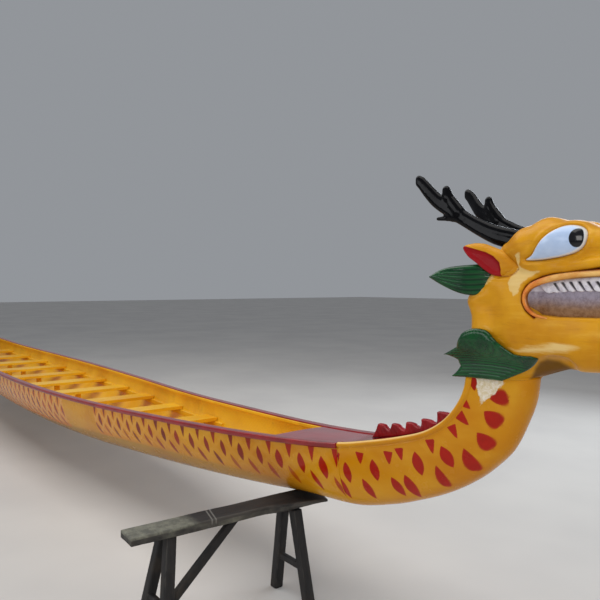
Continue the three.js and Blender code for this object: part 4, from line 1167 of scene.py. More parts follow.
UNDER_EYE = [
    # x, y, z, radius
    (6.345, 0.150, 1.785, 0.016), (6.385, 0.160, 1.757, 0.022), (6.450, 0.163, 1.748, 0.023),
    (6.530, 0.160, 1.748, 0.023), (6.610, 0.152, 1.756, 0.023), (6.700, 0.138, 1.770, 0.022),
    (6.800, 0.120, 1.776, 0.020), (6.900, 0.106, 1.770, 0.016),
]
# Ellipsoids that fill out or hollow the head's sides: centre, half-sizes, pitch
CHEEK = ((6.330, 0.120, 1.610), (0.105, 0.060, 0.140), 0.0)
JOWL = ((6.560, 0.120, 1.500), (0.260, 0.055, 0.085), -0.03)
UNDER_JAW = ((6.462, 0.158, 1.393), (0.098, 0.080, 0.050), 0.36)
HEAD_BACK, HEAD_FRONT = 6.152, 7.180       # where its rounded ends stop


def bar(u, half_u, v, half_v, power):
    """Field of a rounded bar from its section, a superellipse."""
    share = ((np.abs(u) / half_u) ** power + (np.abs(v) / half_v) ** power) ** (1 / power)
    return (share - 1) * np.minimum(half_u, half_v)


def head_block(x, y, z):
    """Skull and jaw before the mouth is cut: a bar along the boat, on a throat that rises from the neck."""
    side = np.abs(y)
    low, high, half = through(HEAD_ROWS, np.clip(x, HEAD_ROWS[0][0], HEAD_ROWS[-1][0]))
    whole = bar(side, half, z - (low + high) / 2, (high - low) / 2, HEAD_POWER)
    whole = trim(trim(whole, x - HEAD_FRONT, 0.05), HEAD_BACK - x, 0.03)
    back, front, wide = through(THROAT_ROWS, np.clip(z, NECK_TOP, THROAT_ROWS[-1][0]))
    throat = bar(side, wide, x - (back + front) / 2, (front - back) / 2, HULL_POWER)
    whole = blend(whole, trim(throat, z - 1.61, 0.03), 0.035)
    whole = blend(whole, limb(x, side, z, BROW, 0.02), 0.03)
    whole = blend(whole, limb(x, side, z, CHEEK_RIM, 0.02), 0.035)
    for form in (CHEEK, JOWL):
        whole = blend(whole, ellipsoid(x, side, z, *form), 0.05)
    whole = trim(whole, -ellipsoid(x, side, z, *UNDER_JAW), 0.02)
    furrow = 0.016 * bell(y, 0.022) * ease(x, 6.30, 6.42) * ease(x, 6.80, 6.62)
    inside_neck = 0.004 * ease(z, NECK_TOP + 0.001, NECK_TOP - 0.004)
    return np.maximum(whole + furrow + inside_neck, NECK_TOP - HEAD_SPIGOT - z)


MOUTH_OUTLINE = [*MOUTH_ROOF, *MOUTH_FRONT, *MOUTH_FLOOR, *MOUTH_CORNER]
EYE_CURVE = [tuple(point) for point in closed_curve(EYE_OUTLINE, 72)]


def head_field(x, y, z):
    whole = blend(head_block(x, y, z), limb(x, np.abs(y), z, UNDER_EYE, 0.01), 0.012)
    sideways = ease(np.abs(y), 0.05, 0.09)
    cuts = ((CREASE, 0.010, 0.0065), (EAR_CREASE, 0.006, 0.007), (BROW_CREASE, 0.006, 0.007))
    for line, deep, wide in cuts:
        whole = whole + deep * bell(line_distance(x, z, line), wide) * sideways
    eye = outline_distance(x, z, EYE_CURVE)
    socket, lid = 0.008 * ease(eye, 0.004, -0.004), 0.005 * bell(eye - 0.012, 0.008)
    whole = whole + (socket - lid) * sideways
    whole = whole - 0.0022 * ripple(x, np.abs(y), z, 0.05, 3)
    return trim(whole, -outline_distance(x, z, MOUTH_OUTLINE), 0.010)


def side_of(field, x, z):
    """Half-breadth of a body's side at places in side view, by halving the gap that it must lie in."""
    near, far = np.zeros_like(x), np.full_like(x, 0.3)
    for _ in range(24):
        middle = (near + far) / 2
        inside = field(x, middle, z) < 0
        near, far = np.where(inside, middle, near), np.where(inside, far, middle)
    return near


def unpainted(count, **painted):
    """Paints of a piece in the dragon's yellow: those given, and the others as nothing painted."""
    plain = dict(crease=0.0, shade=0.0, cream=-1.0, filler=-1.0, red=-1.0)
    return {**{label: np.full(count, value) for label, value in plain.items()}, **painted}


def build_head(material):
    """Skull and lower jaw in one carving, with the mouth cut out of it."""
    low, high = (6.08, -0.215, NECK_TOP - HEAD_SPIGOT), (7.20, 0.215, 1.940)
    points, faces = carve(head_field, low, high, HEAD_STEP)
    x, y, z = points.T
    sideways = ease(np.abs(y), 0.06, 0.10)
    crease = 0.0
    for line, strength, wide in ((CREASE, 1.0, 0.006), (EAR_CREASE, 0.5, 0.005), (BROW_CREASE, 0.36, 0.005)):
        crease = np.maximum(crease, strength * bell(line_distance(x, z, line), wide) * sideways)
    hollow = outline_distance(x + 0.7 * np.maximum(0.13 - np.abs(y), 0), z, JAW_HOLLOW)
    # Painted highlight lines along the cheek rim and above the mane leaf, and the pale band on the jaw
    lights = np.minimum(line_distance(x, z, RIM_LIGHT), line_distance(x, z, LEAF_LIGHT))
    cream = np.maximum(-outline_distance(x, z, JAW_PALE_BAND), 0.007 - lights)
    paints = unpainted(
        len(points),
        crease=crease,
        shade=ease(hollow, 0.006, -0.026),
        cream=np.where(sideways > 0, cream, -1.0),
        filler=np.where(sideways > 0.2, -outline_distance(x, z, HEAD_PALE_PATCH), -1.0),
    )
    add_piece("dragon_head", points, faces, material, "dragon_yellow", ["head_skull", "lower_jaw"], **paints)


def eye_field(x, y, z):
    """Crowned almond that stands out of the head's side."""
    step, crown, reach, sunk = 0.002, 0.011, 0.034, 0.035
    rim = outline_distance(x, z, EYE_CURVE) + 0.001
    share = np.clip(-rim / reach, 0, 1)
    skin = head_block(x, y, z)
    swell = step + crown * np.sqrt(share * (2 - share))
    return np.maximum(trim(skin - swell, rim, 0.004), -(skin + sunk))


def build_eyes(material):
    points, faces = carve(eye_field, (6.37, 0.06, 1.755), (6.64, 0.225, 1.91), CARVING_STEP)
    x, _, z = points.T
    middle_x, middle_z, half, tall = PUPIL
    pupil = (1 - np.sqrt(((x - middle_x) / half) ** 2 + ((z - middle_z) / tall) ** 2)) * half
    rim = ease(outline_distance(x, z, EYE_CURVE), -0.010, -0.002)
    add_pair(both_sides("eyeball", "eye"), points, faces, 1, material, "eye_white", pupil=pupil, rim=rim)


def tube(path, radii, sides, up):
    """Rings round a path, and the way from the path to each point of a ring."""
    way = np.gradient(path, axis=0)
    way /= np.linalg.norm(way, axis=1)[:, None]
    across = np.cross(way, up)
    across /= np.linalg.norm(across, axis=1)[:, None]
    over = np.cross(across, way)
    turn = np.linspace(0, 2 * math.pi, sides, endpoint=False)
    ring = (np.cos(turn)[None, :, None] * across[:, None] + np.sin(turn)[None, :, None] * over[:, None])
    return path[:, None] + ring * radii[:, None, None], ring


LIP_LINE = [
    # x, z, radius
    (7.060, 1.702, 0.004), (6.960, 1.722, 0.011), (6.850, 1.734, 0.0130), (6.750, 1.736, 0.0132),
    (6.652, 1.729, 0.0130), (6.560, 1.722, 0.0125), (6.492, 1.713, 0.0120), (6.446, 1.701, 0.0112),
    (6.412, 1.684, 0.0105), (6.394, 1.658, 0.0100), (6.394, 1.630, 0.0096), (6.408, 1.604, 0.0085),
    (6.434, 1.586, 0.0060), (6.475, 1.577, 0.0030),
]
LIP_CENTRE = (6.62, 1.655)       # middle of the mouth, for the roll's outer edge


def build_lips(material):
    """Rolls round the mouth; edge is 1 on the side away from the mouth and -1 on the side next to it."""
    sections, sides = 130, 18
    line = along_path(LIP_LINE, sections)
    y = side_of(head_block, line[:, 0], line[:, 1])
    path = np.stack([line[:, 0], y - 0.001, line[:, 1]], 1)
    rings, ring = tube(path, line[:, 2], sides, np.array([0, 1.0, 0]))
    away = path - np.array([LIP_CENTRE[0], 0, LIP_CENTRE[1]])
    away[:, 1] = 0
    away /= np.linalg.norm(away, axis=1)[:, None]
    edge = np.einsum("nkc,nc->nk", ring, away).ravel()
    points, faces = loft(rings)
    add_pair(both_sides("lip", "lip_roll"), points, faces, 1, material, "lip_orange", edge=np.r_[edge, 0, 0])


# Teeth stand in an arch: straight along the sides, round at the front
ARCH_TURN = 6.90
ARCH_FRONT = 7.055
UPPER_TEETH = dict(start=6.412, first=6.476, pitch=0.0285, deep=0.054, gum=0.020, slit=0.0032, slant=-0.62)
LOWER_TEETH = dict(start=6.750, first=6.760, pitch=0.0320, deep=0.034, gum=0.010, slit=0.0028, slant=-0.15)
TEETH_THICK = 0.016


def teeth_field(line, up, start, first, pitch, deep, gum, slit, slant):
    """Field of a row of teeth along a line of the mouth, and how near a point is to a gap between two."""
    rows = sorted(line)

    def parts(x, y, z):
        (edge,) = through(rows, np.clip(x, rows[0][0], rows[-1][0]))
        _, _, half = through(HEAD_ROWS, np.clip(x, HEAD_ROWS[0][0], ARCH_TURN))
        half = half * 0.9 - 0.010
        ahead = np.maximum(x - ARCH_TURN, 0) / (ARCH_FRONT - ARCH_TURN)
        plan = (np.sqrt((y / half) ** 2 + ahead**2) - 1) * half
        band = np.abs(plan + TEETH_THICK / 2) - TEETH_THICK / 2
        along = np.where(x < ARCH_TURN, x, ARCH_TURN + 0.13 * np.arctan2(ahead, np.abs(y) / half))
        drop = (z - edge) * up
        place = (along + slant * drop) / pitch
        off = np.abs(place - np.round(place)) * pitch + 0.02 * (x < first)
        tip = deep * ease(x, start - 0.01, start + 0.05) - 0.007 * (1 - np.clip(off / (pitch / 2), 0, 1)) ** 2
        return band, drop, off, tip

    def field(x, y, z):
        band, drop, off, tip = parts(x, y, z)
        whole = trim(np.maximum(band, start - x), np.maximum(drop - tip, -0.004 - drop), 0.004)
        return np.maximum(whole, np.minimum(slit - off, drop - gum))

    def gap(x, y, z):
        _, drop, off, _ = parts(x, y, z)
        wide = 0.0068 - 0.0034 * ease(drop, gum, deep)
        return bell(off, wide) * ease(drop, gum - 0.004, gum + 0.002)

    return field, gap


def build_teeth(material):
    sets = [
        ("teeth_upper", "upper_teeth", MOUTH_ROOF, -1, UPPER_TEETH, (6.40, -0.16, 1.63), (7.08, 0.16, 1.745)),
        ("teeth_lower", "lower_teeth", MOUTH_FLOOR, 1, LOWER_TEETH, (6.74, -0.14, 1.53), (7.08, 0.14, 1.625)),
    ]
    for name, node, line, up, sizes, low, high in sets:
        field, gap = teeth_field(line, up, **sizes)
        points, faces = carve(field, low, high, TEETH_STEP)
        add_piece(name, points, faces, material, "tooth_white", [node], gap=gap(*points.T))


def build_mouth(material, tongue_material):
    """Closed wall inside the mouth behind the teeth, and the tongue in front of it."""
    def wall(x, y, z):
        inner = np.maximum(head_block(x, y, z) + 0.012 + 0.024 * ease(x, 6.385, 6.425), x - 6.74)
        return trim(inner, outline_distance(x, z, MOUTH_OUTLINE) - 0.006, 0.01)

    points, faces = carve(wall, (6.37, -0.16, 1.565), (6.76, 0.16, 1.735), WALL_STEP)
    x, _, z = points.T
    smear = ease(z, 1.655, 1.680) * ease(x, 6.385, 6.410) * ease(x, 6.56, 6.50)
    add_piece("mouth_wall", points, faces, material, "mouth_grey", ["mouth_lining"], smear=smear)

    def tongue_field(x, y, z):
        body = ellipsoid(x, y, z, (6.820, 0.0, 1.590), (0.165, 0.058, 0.020), -0.02)
        return body + 0.006 * bell(y, 0.009) * ease(z, 1.585, 1.60)

    points, faces = carve(tongue_field, (6.66, -0.06, 1.565), (6.99, 0.06, 1.615), NOSE_STEP)
    add_piece("tongue_carving", points, faces, tongue_material, "tongue_red", ["tongue"])


NOSE = ((7.096, 0.0, 1.786), (0.060, 0.086, 0.036))         # centre, half-sizes
NOSE_WING = ((7.108, 0.052, 1.788), (0.044, 0.034, 0.034))
NOSTRIL = (7.148, 0.052, 1.800)


def build_nose(material):
    """Broad nose with two wings and red nostrils."""
    def field(x, y, z):
        side = np.abs(y)
        whole = blend(ellipsoid(x, y, z, *NOSE), ellipsoid(x, side, z, *NOSE_WING), 0.02)
        return trim(whole, -ellipsoid(x, side, z, NOSTRIL, (0.026, 0.016, 0.016)), 0.006)

    points, faces = carve(field, (7.02, -0.09, 1.745), (7.165, 0.09, 1.835), NOSE_STEP)
    x, y, z = points.T
    hollow = ellipsoid(x, np.abs(y), z, NOSTRIL, (0.028, 0.018, 0.018))
    paints = unpainted(len(points), red=np.where(hollow < 0.003, 0.01, -0.01))
    add_piece("nose_carving", points, faces, material, "dragon_yellow", ["nose"], **paints)


ANTLER_BEAM = [
    # x, y, z, radius
    (6.350, 0.104, 1.842, 0.036),
    (6.295, 0.110, 1.856, 0.036),
    (6.226, 0.116, 1.874, 0.035),
    (6.163, 0.120, 1.900, 0.032),
    (6.102, 0.124, 1.931, 0.030),
    (6.012, 0.131, 1.982, 0.031),
    (5.955, 0.139, 2.020, 0.031),
    (5.916, 0.150, 2.062, 0.029),
    (5.890, 0.155, 2.092, 0.026),
    (5.876, 0.157, 2.102, 0.023),
]
ANTLER_TINES = [
    [(6.060, 0.128, 1.968, 0.026), (6.008, 0.135, 2.030, 0.023), (6.003, 0.137, 2.056, 0.019)],
    [(6.090, 0.126, 1.944, 0.018), (6.030, 0.130, 1.946, 0.015), (5.960, 0.136, 1.944, 0.008)],
]
ANTLER_LIFTS = {"port": -0.014, "starboard": 0.016}   # carved by hand, so their tips stand unevenly
ANTLER_FLAT = 0.72       # breadth against depth
ANTLER_RIDGE = 0.35      # ridge line's place up the side, as a share of the radius


def build_antlers(material):
    """Flattened beams with a ridge line along each side, and two tines."""
    beam = along_path(ANTLER_BEAM, 30)
    middle = np.array(ANTLER_BEAM)[::-1]

    def strand(rise):
        return [(x, y, z + rise * radius, 0.70 * radius) for x, y, z, radius in beam]

    def field(x, y, z):
        sheet = np.interp(x, middle[:, 0], middle[:, 1])
        wide = sheet + (y - sheet) / ANTLER_FLAT
        upper, lower = [limb(x, wide, z, strand(rise), 0.001) for rise in (ANTLER_RIDGE, -ANTLER_RIDGE)]
        whole = blend(upper, lower, 0.006)
        for rows in ANTLER_TINES:
            whole = blend(whole, limb(x, wide, z, rows, 0.008), 0.008)
        return whole * 0.8

    points, faces = carve(field, (5.84, 0.06, 1.80), (6.39, 0.22, 2.130), CARVING_STEP)
    share = ease(points[:, 0], 6.33, 5.80)
    for name, lift in ANTLER_LIFTS.items():
        raised = points + np.outer(share, (0, 0, lift))
        turned = (raised, faces) if name == "port" else mirrored(raised, faces, 1)
        add_piece(f"horn_{name}", *turned, material, "antler_black", [f"antler_{name}"], smooth=14)


EAR_OUTLINE = [
    (6.144, 1.832), (6.178, 1.844), (6.219, 1.842), (6.256, 1.828), (6.303, 1.805), (6.338, 1.780),
    (6.358, 1.758), (6.340, 1.737), (6.310, 1.728), (6.282, 1.722), (6.256, 1.725), (6.228, 1.742),
    (6.192, 1.772), (6.160, 1.799),
]
EAR_HOLLOW = [
    (6.120, 1.842), (6.160, 1.834), (6.200, 1.822), (6.240, 1.809), (6.267, 1.794), (6.288, 1.771),
    (6.293, 1.745), (6.284, 1.705), (6.248, 1.705), (6.218, 1.728), (6.180, 1.760), (6.144, 1.792),
]


def build_ears(material):
    """Pillow-shaped ears with a red hollow on the outside."""
    outline = [tuple(point) for point in closed_curve(EAR_OUTLINE, 80)]

    def middle(x, z):
        return 0.206 - 0.26 * (x - 6.128) + 0 * z

    solid = plate(outline, middle, 0.022, 0.026)
    deep, slope, rim = 0.012, 0.014, 0.022

    def field(x, y, z):
        hollow = deep * np.clip(-outline_distance(x, z, EAR_HOLLOW) / slope, 0, 1) ** 0.6
        hollow = hollow * ease(-outline_distance(x, z, outline), 0.0, rim)
        return solid(x, y, z) + hollow * ease(y - middle(x, z), -0.004, 0.004)

    points, faces = carve(field, (6.11, 0.12, 1.71), (6.38, 0.25, 1.85), CARVING_STEP)
    x, y, z = points.T
    outer = y - middle(x, z) + deep
    paints = unpainted(len(points), red=np.minimum(outer, -outline_distance(x, z, EAR_HOLLOW)))
    add_pair(both_sides("ear_carving", "ear"), points, faces, 1, material, "dragon_yellow", **paints)


CHEEK_LEAF = [
    # x, lower edge, upper edge
    (5.998, 1.7210, 1.7220), (6.040, 1.696, 1.746), (6.080, 1.676, 1.758), (6.120, 1.660, 1.763),
    (6.160, 1.652, 1.766), (6.200, 1.654, 1.767), (6.240, 1.666, 1.758), (6.285, 1.690, 1.740),
    (6.315, 1.705, 1.722),
]
MANE_LEAF = [
    (6.160, 1.524), (6.196, 1.529), (6.233, 1.524), (6.259, 1.503), (6.331, 1.443), (6.399, 1.442),
    (6.426, 1.434), (6.338, 1.371), (6.261, 1.335), (6.122, 1.332), (6.022, 1.326), (6.072, 1.374),
    (6.062, 1.394), (5.992, 1.412), (6.086, 1.452), (6.122, 1.505),
]
MANE_BENDS = [-0.04, -0.04, -0.06, 0, 0.04, -0.06, -0.05, 0, 0, 0, 0.06, -0.10, 0.05, 0, 0, -0.05]
MANE_HALF = 0.125        # half-breadth of the mane leaves' middle at the bottom
MANE_SWELL = 0.060       # and how much wider it is at the top


def rib(turns):
    """A narrow groove at every whole number, from 0 to 1 deep."""
    return (0.5 + 0.5 * np.cos(2 * math.pi * turns)) ** 2


def leaf_ribs(x, z):
    """Ribs that run along the cheek leaf and draw together at both ends."""
    low, high = through(CHEEK_LEAF, np.clip(x, CHEEK_LEAF[0][0], CHEEK_LEAF[-1][0]))
    deep, number = 0.0030, 6
    return deep * rib(number * (z - low) / np.maximum(high - low, 0.004))


def mane_ribs(x, z):
    """Fine ribs, slanting down and forward in the upper part and level below."""
    deep, pitch = 0.0020, 0.0120
    slant = 0.80 * ease(z, 1.400, 1.520)
    bend = 0.5 * (x - 6.22) ** 2
    return deep * rib((z + slant * (x - 6.04) + bend) / pitch)


def build_leaves(material):
    """Cheek and mane leaves of the head, and the mane leaves again on the tail."""
    lower = [(x, low) for x, low, _ in CHEEK_LEAF]
    upper = [(x, high) for x, _, high in CHEEK_LEAF]
    cheek = [*along_path(lower, 40), *along_path(upper, 40)[::-1]]

    def cheek_middle(x, z):
        return 0.236 - 0.245 * (x - 5.978) - 2.3 * np.maximum(x - 6.12, 0) ** 2 + 0 * z

    def mane_middle(x, z):
        return MANE_HALF + MANE_SWELL * ease(z, 1.385, 1.490) + 0 * x

    def add_leaves(name, node, points, faces, groove):
        add_pair(both_sides(name, node), points, faces, 1, material, "leaf_green", groove=groove)

    add_leaves("cheek_foliage", "cheek_leaf", *carve_plate(
        cheek, cheek_middle, (0.12, 0.26), 0.017, 0.030, leaf_ribs, CARVING_STEP))
    points, faces, groove = carve_plate(
        arched(MANE_LEAF, MANE_BENDS), mane_middle, (0.07, 0.22), 0.014, 0.020, mane_ribs, CARVING_STEP)
    add_leaves("mane_foliage", "mane_leaf", points, faces, groove)
    add_leaves("tail_foliage", "tail_leaf", *mirrored(points, faces, 0), groove)


# Tail
TAIL_ROWS = [
    # x, z, half along, half across
    (-6.208, NECK_TOP + 0.0004, 0.122, 0.112),
    (-6.226, 1.410, 0.118, 0.106),
    (-6.290, 1.500, 0.106, 0.092),
    (-6.395, 1.575, 0.090, 0.076),
    (-6.530, 1.632, 0.072, 0.060),
    (-6.670, 1.690, 0.054, 0.046),
    (-6.790, 1.775, 0.038, 0.032),
    (-6.870, 1.880, 0.020, 0.016),
]
UPPER_FIN = [
    (-6.112, 1.400), (-6.050, 1.500), (-6.128, 1.530), (-6.100, 1.620), (-6.204, 1.622), (-6.210, 1.718),
    (-6.334, 1.692), (-6.356, 1.792), (-6.480, 1.738), (-6.516, 1.832), (-6.628, 1.778), (-6.690, 1.856),
    (-6.744, 1.806), (-6.700, 1.706), (-6.530, 1.640), (-6.395, 1.580), (-6.290, 1.500), (-6.215, 1.400),
]
UPPER_BENDS = [0.16, 0.12, 0.16, 0.12, 0.16, 0.12, 0.16, 0.12, 0.16, 0.12, 0.14, 0.10, 0, 0, 0, 0, 0, 0]
LOWER_FIN = [
    (-6.300, 1.470), (-6.395, 1.575), (-6.530, 1.632), (-6.670, 1.690), (-6.770, 1.760), (-6.806, 1.730),
    (-6.806, 1.650), (-6.700, 1.622), (-6.700, 1.552), (-6.566, 1.544), (-6.560, 1.462), (-6.446, 1.476),
    (-6.444, 1.400), (-6.356, 1.400),
]
LOWER_BENDS = [0, 0, 0, 0, 0.06, 0.10, -0.12, 0.12, -0.12, 0.12, -0.12, 0.12, 0.05, 0.08]
PLUME = [
    (-6.800, 1.840), (-6.794, 1.960), (-6.866, 1.950), (-6.876, 2.070), (-6.948, 2.004), (-7.010, 2.112),
    (-7.034, 1.990), (-7.185, 2.012), (-7.104, 1.918), (-7.180, 1.850), (-7.044, 1.840), (-7.060, 1.742),
    (-6.942, 1.788), (-6.900, 1.700), (-6.826, 1.770),
]
PLUME_BENDS = [0.10, 0.12]
FIN_HALF = 0.013
FIN_EDGE = 0.024         # breadth of the rounded border


def flame_grooves(centre):
    """Grooves that fan out from a point in side view."""
    deep, number = 0.0030, 34       # grooves in a full turn

    def grooves(x, z):
        turns = np.arctan2(z - centre[1], x - centre[0]) / (2 * math.pi)
        return deep * rib(number * turns)

    return grooves


def build_tail(yellow, red, green):
    """Tapering tail body with two flame fins and a plume."""
    sections, sides = 90, 56
    table = np.array(TAIL_ROWS)
    run = np.r_[0, np.cumsum(np.linalg.norm(np.diff(table[:, :2], axis=0), axis=1))]
    places = np.linspace(0, run[-1], sections)
    x, z, along, across = through(np.c_[run, table], places)
    lean = np.arctan2(-np.gradient(x), np.gradient(z)) * ease(places, 0, 0.07)
    angle = np.linspace(0, 2 * math.pi, sides, endpoint=False)
    u, v = rounded(np.cos(angle)) * along[:, None], rounded(np.sin(angle)) * across[:, None]
    rings = np.stack([x[:, None] + u * np.cos(lean)[:, None], v, z[:, None] + u * np.sin(lean)[:, None]], 2)
    wave = 0.0018 * ripple(*np.moveaxis(rings, 2, 0), 0.05, 21) * ease(places, 0, 0.1)[:, None]
    rings[..., 1] += wave * np.sign(rings[..., 1])
    points, faces = loft(rings)
    add_piece("tail_carving", points, faces, yellow, "dragon_yellow", ["tail_body"], **unpainted(len(points)))
    plates = [
        ("tail_upper_flames", "tail_upper_fin", UPPER_FIN, UPPER_BENDS, (-6.45, 1.30), red, "flame_red"),
        ("tail_lower_flames", "tail_lower_fin", LOWER_FIN, LOWER_BENDS, (-6.40, 1.95), red, "flame_red"),
        ("tail_plume_carving", "tail_plume", PLUME, PLUME_BENDS, (-6.84, 1.78), green, "leaf_green"),
    ]
    for name, node, outline, bends, centre, material, slot in plates:
        points, faces, groove = carve_plate(
            arched(outline, bends), flat, (-0.02, 0.02), FIN_HALF, FIN_EDGE, flame_grooves(centre), FIN_STEP)
        add_piece(name, points, faces, material, slot, [node], groove=groove)


# Trestles
KEEL_REST = 0.5551
PLANK_THICK = 0.042
PLANK_OUTLINE = [
    # x, y
    (4.836, -1.028), (4.970, -1.035), (4.992, -0.319), (5.086, 0.012), (4.985, 0.050), (4.850, 0.060),
]
UNDER_PLANK = KEEL_REST - PLANK_THICK - CLEAR
LEG_ROWS = [
    # name, y at the top, y at the floor, x at the top (aft, fore), x at the floor (aft, fore)
    ("far_legs", -0.145, -0.100, 4.901, 5.005, 4.771, 5.070),
    ("near_legs", -0.830, -0.925, 4.872, 4.940, 4.800, 5.075),
]
LEG_SIDE = 0.052
RUNG_HEIGHT = 0.205
RUNG_SIDE = 0.032
BRACE_TOP = (4.915, -0.452)
BRACE_FOOT = (4.966, -0.843)      # at the height of the near rung, against whose side it ends
BRACE_SIDE = 0.040
CRACK = (-0.585, -0.625)         # y of the first pale crack at the plank's aft and fore edges
CRACK_PITCH = 0.020
LIT_END_FROM = -0.700               # y where the plank's pale end begins: weathered wood, and painted light where it lies out of the hull's shadow


def timber(x, y, z, start, end, side, seed):
    """Field of a rough square timber between two points, and how near a point is to its edges."""
    a, b = np.array(start, float), np.array(end, float)
    length = float(np.linalg.norm(b - a))
    way = (b - a) / length
    first = np.cross(way, (0.0, 1.0, 0.0)) if abs(way[1]) < 0.9 else np.cross(way, (1.0, 0.0, 0.0))
    first /= np.linalg.norm(first)
    second = np.cross(way, first)
    u, v, w = [(x - a[0]) * d[0] + (y - a[1]) * d[1] + (z - a[2]) * d[2] for d in (first, second, way)]
    rough = 0.0016 * ripple(u * 2, v * 2, w, 0.09, seed)
    sides = trim(np.abs(u) - side / 2, np.abs(v) - side / 2, 0.009) + rough
    edge = ease(np.minimum(np.abs(u), np.abs(v)), side * 0.34, side * 0.5)
    return trim(sides, np.abs(w - length / 2) - length / 2, 0.004), edge


def trestle_parts():
    """Name, field and two corners of each part of the bow trestle below its plank."""
    parts = []
    for index, (name, top_y, foot_y, aft_top, fore_top, aft_foot, fore_foot) in enumerate(LEG_ROWS):
        share = RUNG_HEIGHT / UNDER_PLANK
        rung_y = foot_y + (top_y - foot_y) * share
        members = [
            ((aft_foot, foot_y, 0), (aft_top, top_y, UNDER_PLANK), LEG_SIDE, 0.05),
            ((fore_foot, foot_y, 0), (fore_top, top_y, UNDER_PLANK), LEG_SIDE, 0.05),
            ((aft_foot + (aft_top - aft_foot) * share, rung_y, RUNG_HEIGHT),
             (fore_foot + (fore_top - fore_foot) * share, rung_y, RUNG_HEIGHT), RUNG_SIDE, 0.0),
        ]

        def legs(x, y, z, members=members, index=index):
            whole, edge = None, 0.0
            for k, (start, end, side, spare) in enumerate(members):
                start, end = np.array(start), np.array(end)
                extra = (end - start) / np.linalg.norm(end - start) * spare
                one, near = timber(x, y, z, start - extra, end + extra, side, 31 + 7 * index + k)
                edge = np.maximum(edge, near * (one < 0.004))
                whole = one if whole is None else np.minimum(whole, one)
            return np.maximum(np.maximum(whole, z - UNDER_PLANK), -z), edge

        low = (aft_foot - 0.05, min(top_y, foot_y) - 0.04, 0.0)
        high = (fore_foot + 0.05, max(top_y, foot_y) + 0.04, UNDER_PLANK)
        parts.append((name, legs, low, high))

    _, top_y, foot_y = LEG_ROWS[1][:3]
    rung_side = foot_y + (top_y - foot_y) * RUNG_HEIGHT / UNDER_PLANK + RUNG_SIDE / 2 + CLEAR

    def brace(x, y, z):
        start, end = np.array([*BRACE_FOOT, RUNG_HEIGHT]), np.array([*BRACE_TOP, UNDER_PLANK])
        extra = (end - start) / np.linalg.norm(end - start) * 0.06
        whole, edge = timber(x, y, z, start - extra, end + extra, BRACE_SIDE, 57)
        return np.maximum(np.maximum(whole, z - UNDER_PLANK), rung_side - y), edge

    parts.append(("brace", brace, (4.87, rung_side, 0.14), (5.01, -0.40, UNDER_PLANK)))
    return parts


def plank(x, y, z):
    """Field of the plank, thinner at its fore edge."""
    rim = outline_distance(x, y, PLANK_OUTLINE) + 0.003 * ripple(x, y, 0 * x, 0.05, 44)
    half = PLANK_THICK / 2 * (1 - 0.6 * ease(x, 5.00, 5.08))
    board = np.abs(z - (KEEL_REST - half)) - half
    return trim(rim, board + 0.0008 + 0.0008 * ripple(x, y, z, 0.07, 45), 0.006)


def build_trestles():
    """Bow trestle with its plank, and the stern trestle turned half round."""
    timbers = {
        "plank": old_timber("plank_timber", (1, 0.12, 1)),
        "far_legs": old_timber("leg_timber", (1, 1, 0.12)),
        "near_legs": old_timber("near_leg_timber", (1, 1, 0.12)),
        "brace": old_timber("brace_timber", (1, 0.25, 0.25)),
    }
    made = []
    low, high = (4.83, -1.04, KEEL_REST - PLANK_THICK), (5.09, 0.065, KEEL_REST)
    points, faces = carve(plank, low, high, TIMBER_STEP)
    x, y, z = points.T
    rub = ease(-outline_distance(x, y, PLANK_OUTLINE), 0.020, 0.002)
    top = ease(z, KEEL_REST - 0.012, KEEL_REST - 0.004)
    crack_y = CRACK[0] + (CRACK[1] - CRACK[0]) * (x - 4.836) / 0.14
    off = np.minimum(np.abs(y - crack_y), np.abs(y - crack_y - CRACK_PITCH))
    crack = bell(off, 0.0045) * ease(z, KEEL_REST - 0.05, KEEL_REST - 0.01)
    made.append(("plank", points, faces, dict(rub=rub, pale=(LIT_END_FROM - y) * top, crack=crack)))
    for name, field, low, high in trestle_parts():
        points, faces = carve(lambda x, y, z, field=field: field(x, y, z)[0], low, high, TIMBER_STEP)
        _, edge = field(*points.T)
        made.append((name, points, faces, dict(rub=edge, pale=np.full(len(points), -1.0), crack=0 * edge)))
    for name, points, faces, paints in made:
        add_piece(f"bow_stand_{name}", points, faces, timbers[name], "trestle_timber",
                  [f"bow_trestle_{name}"], **paints)
        add_piece(f"stern_stand_{name}", points * (-1, -1, 1), faces, timbers[name], "trestle_timber",
                  [f"stern_trestle_{name}"], **paints)


def finish_inside(material):
    """Seats and keelson keep their own shape, with the moulded edges softened."""
    for name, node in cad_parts.items():
        if name.startswith(("seat_", "keelson_")):
            node.data.materials.clear()
            node.data.materials.append(material)
            soft = node.modifiers.new("moulded_edges", "BEVEL")
            soft.width = 0.004
            soft.segments = 2
            soft.limit_method = "ANGLE"
            soft.angle_limit = math.radians(40)
            soft.harden_normals = True


# Studio
def build_floor():
    shader = Shader("studio_floor", roughness=0.75)
    shader.colour(shader.mix(shader.noise(0.6, 3).rise(0.3, 0.7), paint(205, 202, 198), paint(196, 193, 190)))
    side = 60.0
    corners = [(-side, -side, 0), (side, -side, 0), (side, side, 0), (-side, side, 0)]
    mesh = bpy.data.meshes.new("studio_floor")
    mesh.from_pydata(corners, [], [(0, 1, 2, 3)])
    mesh.materials.append(shader.material)
    floor = bpy.data.objects.new("studio_floor", mesh)
    bpy.context.scene.collection.objects.link(floor)


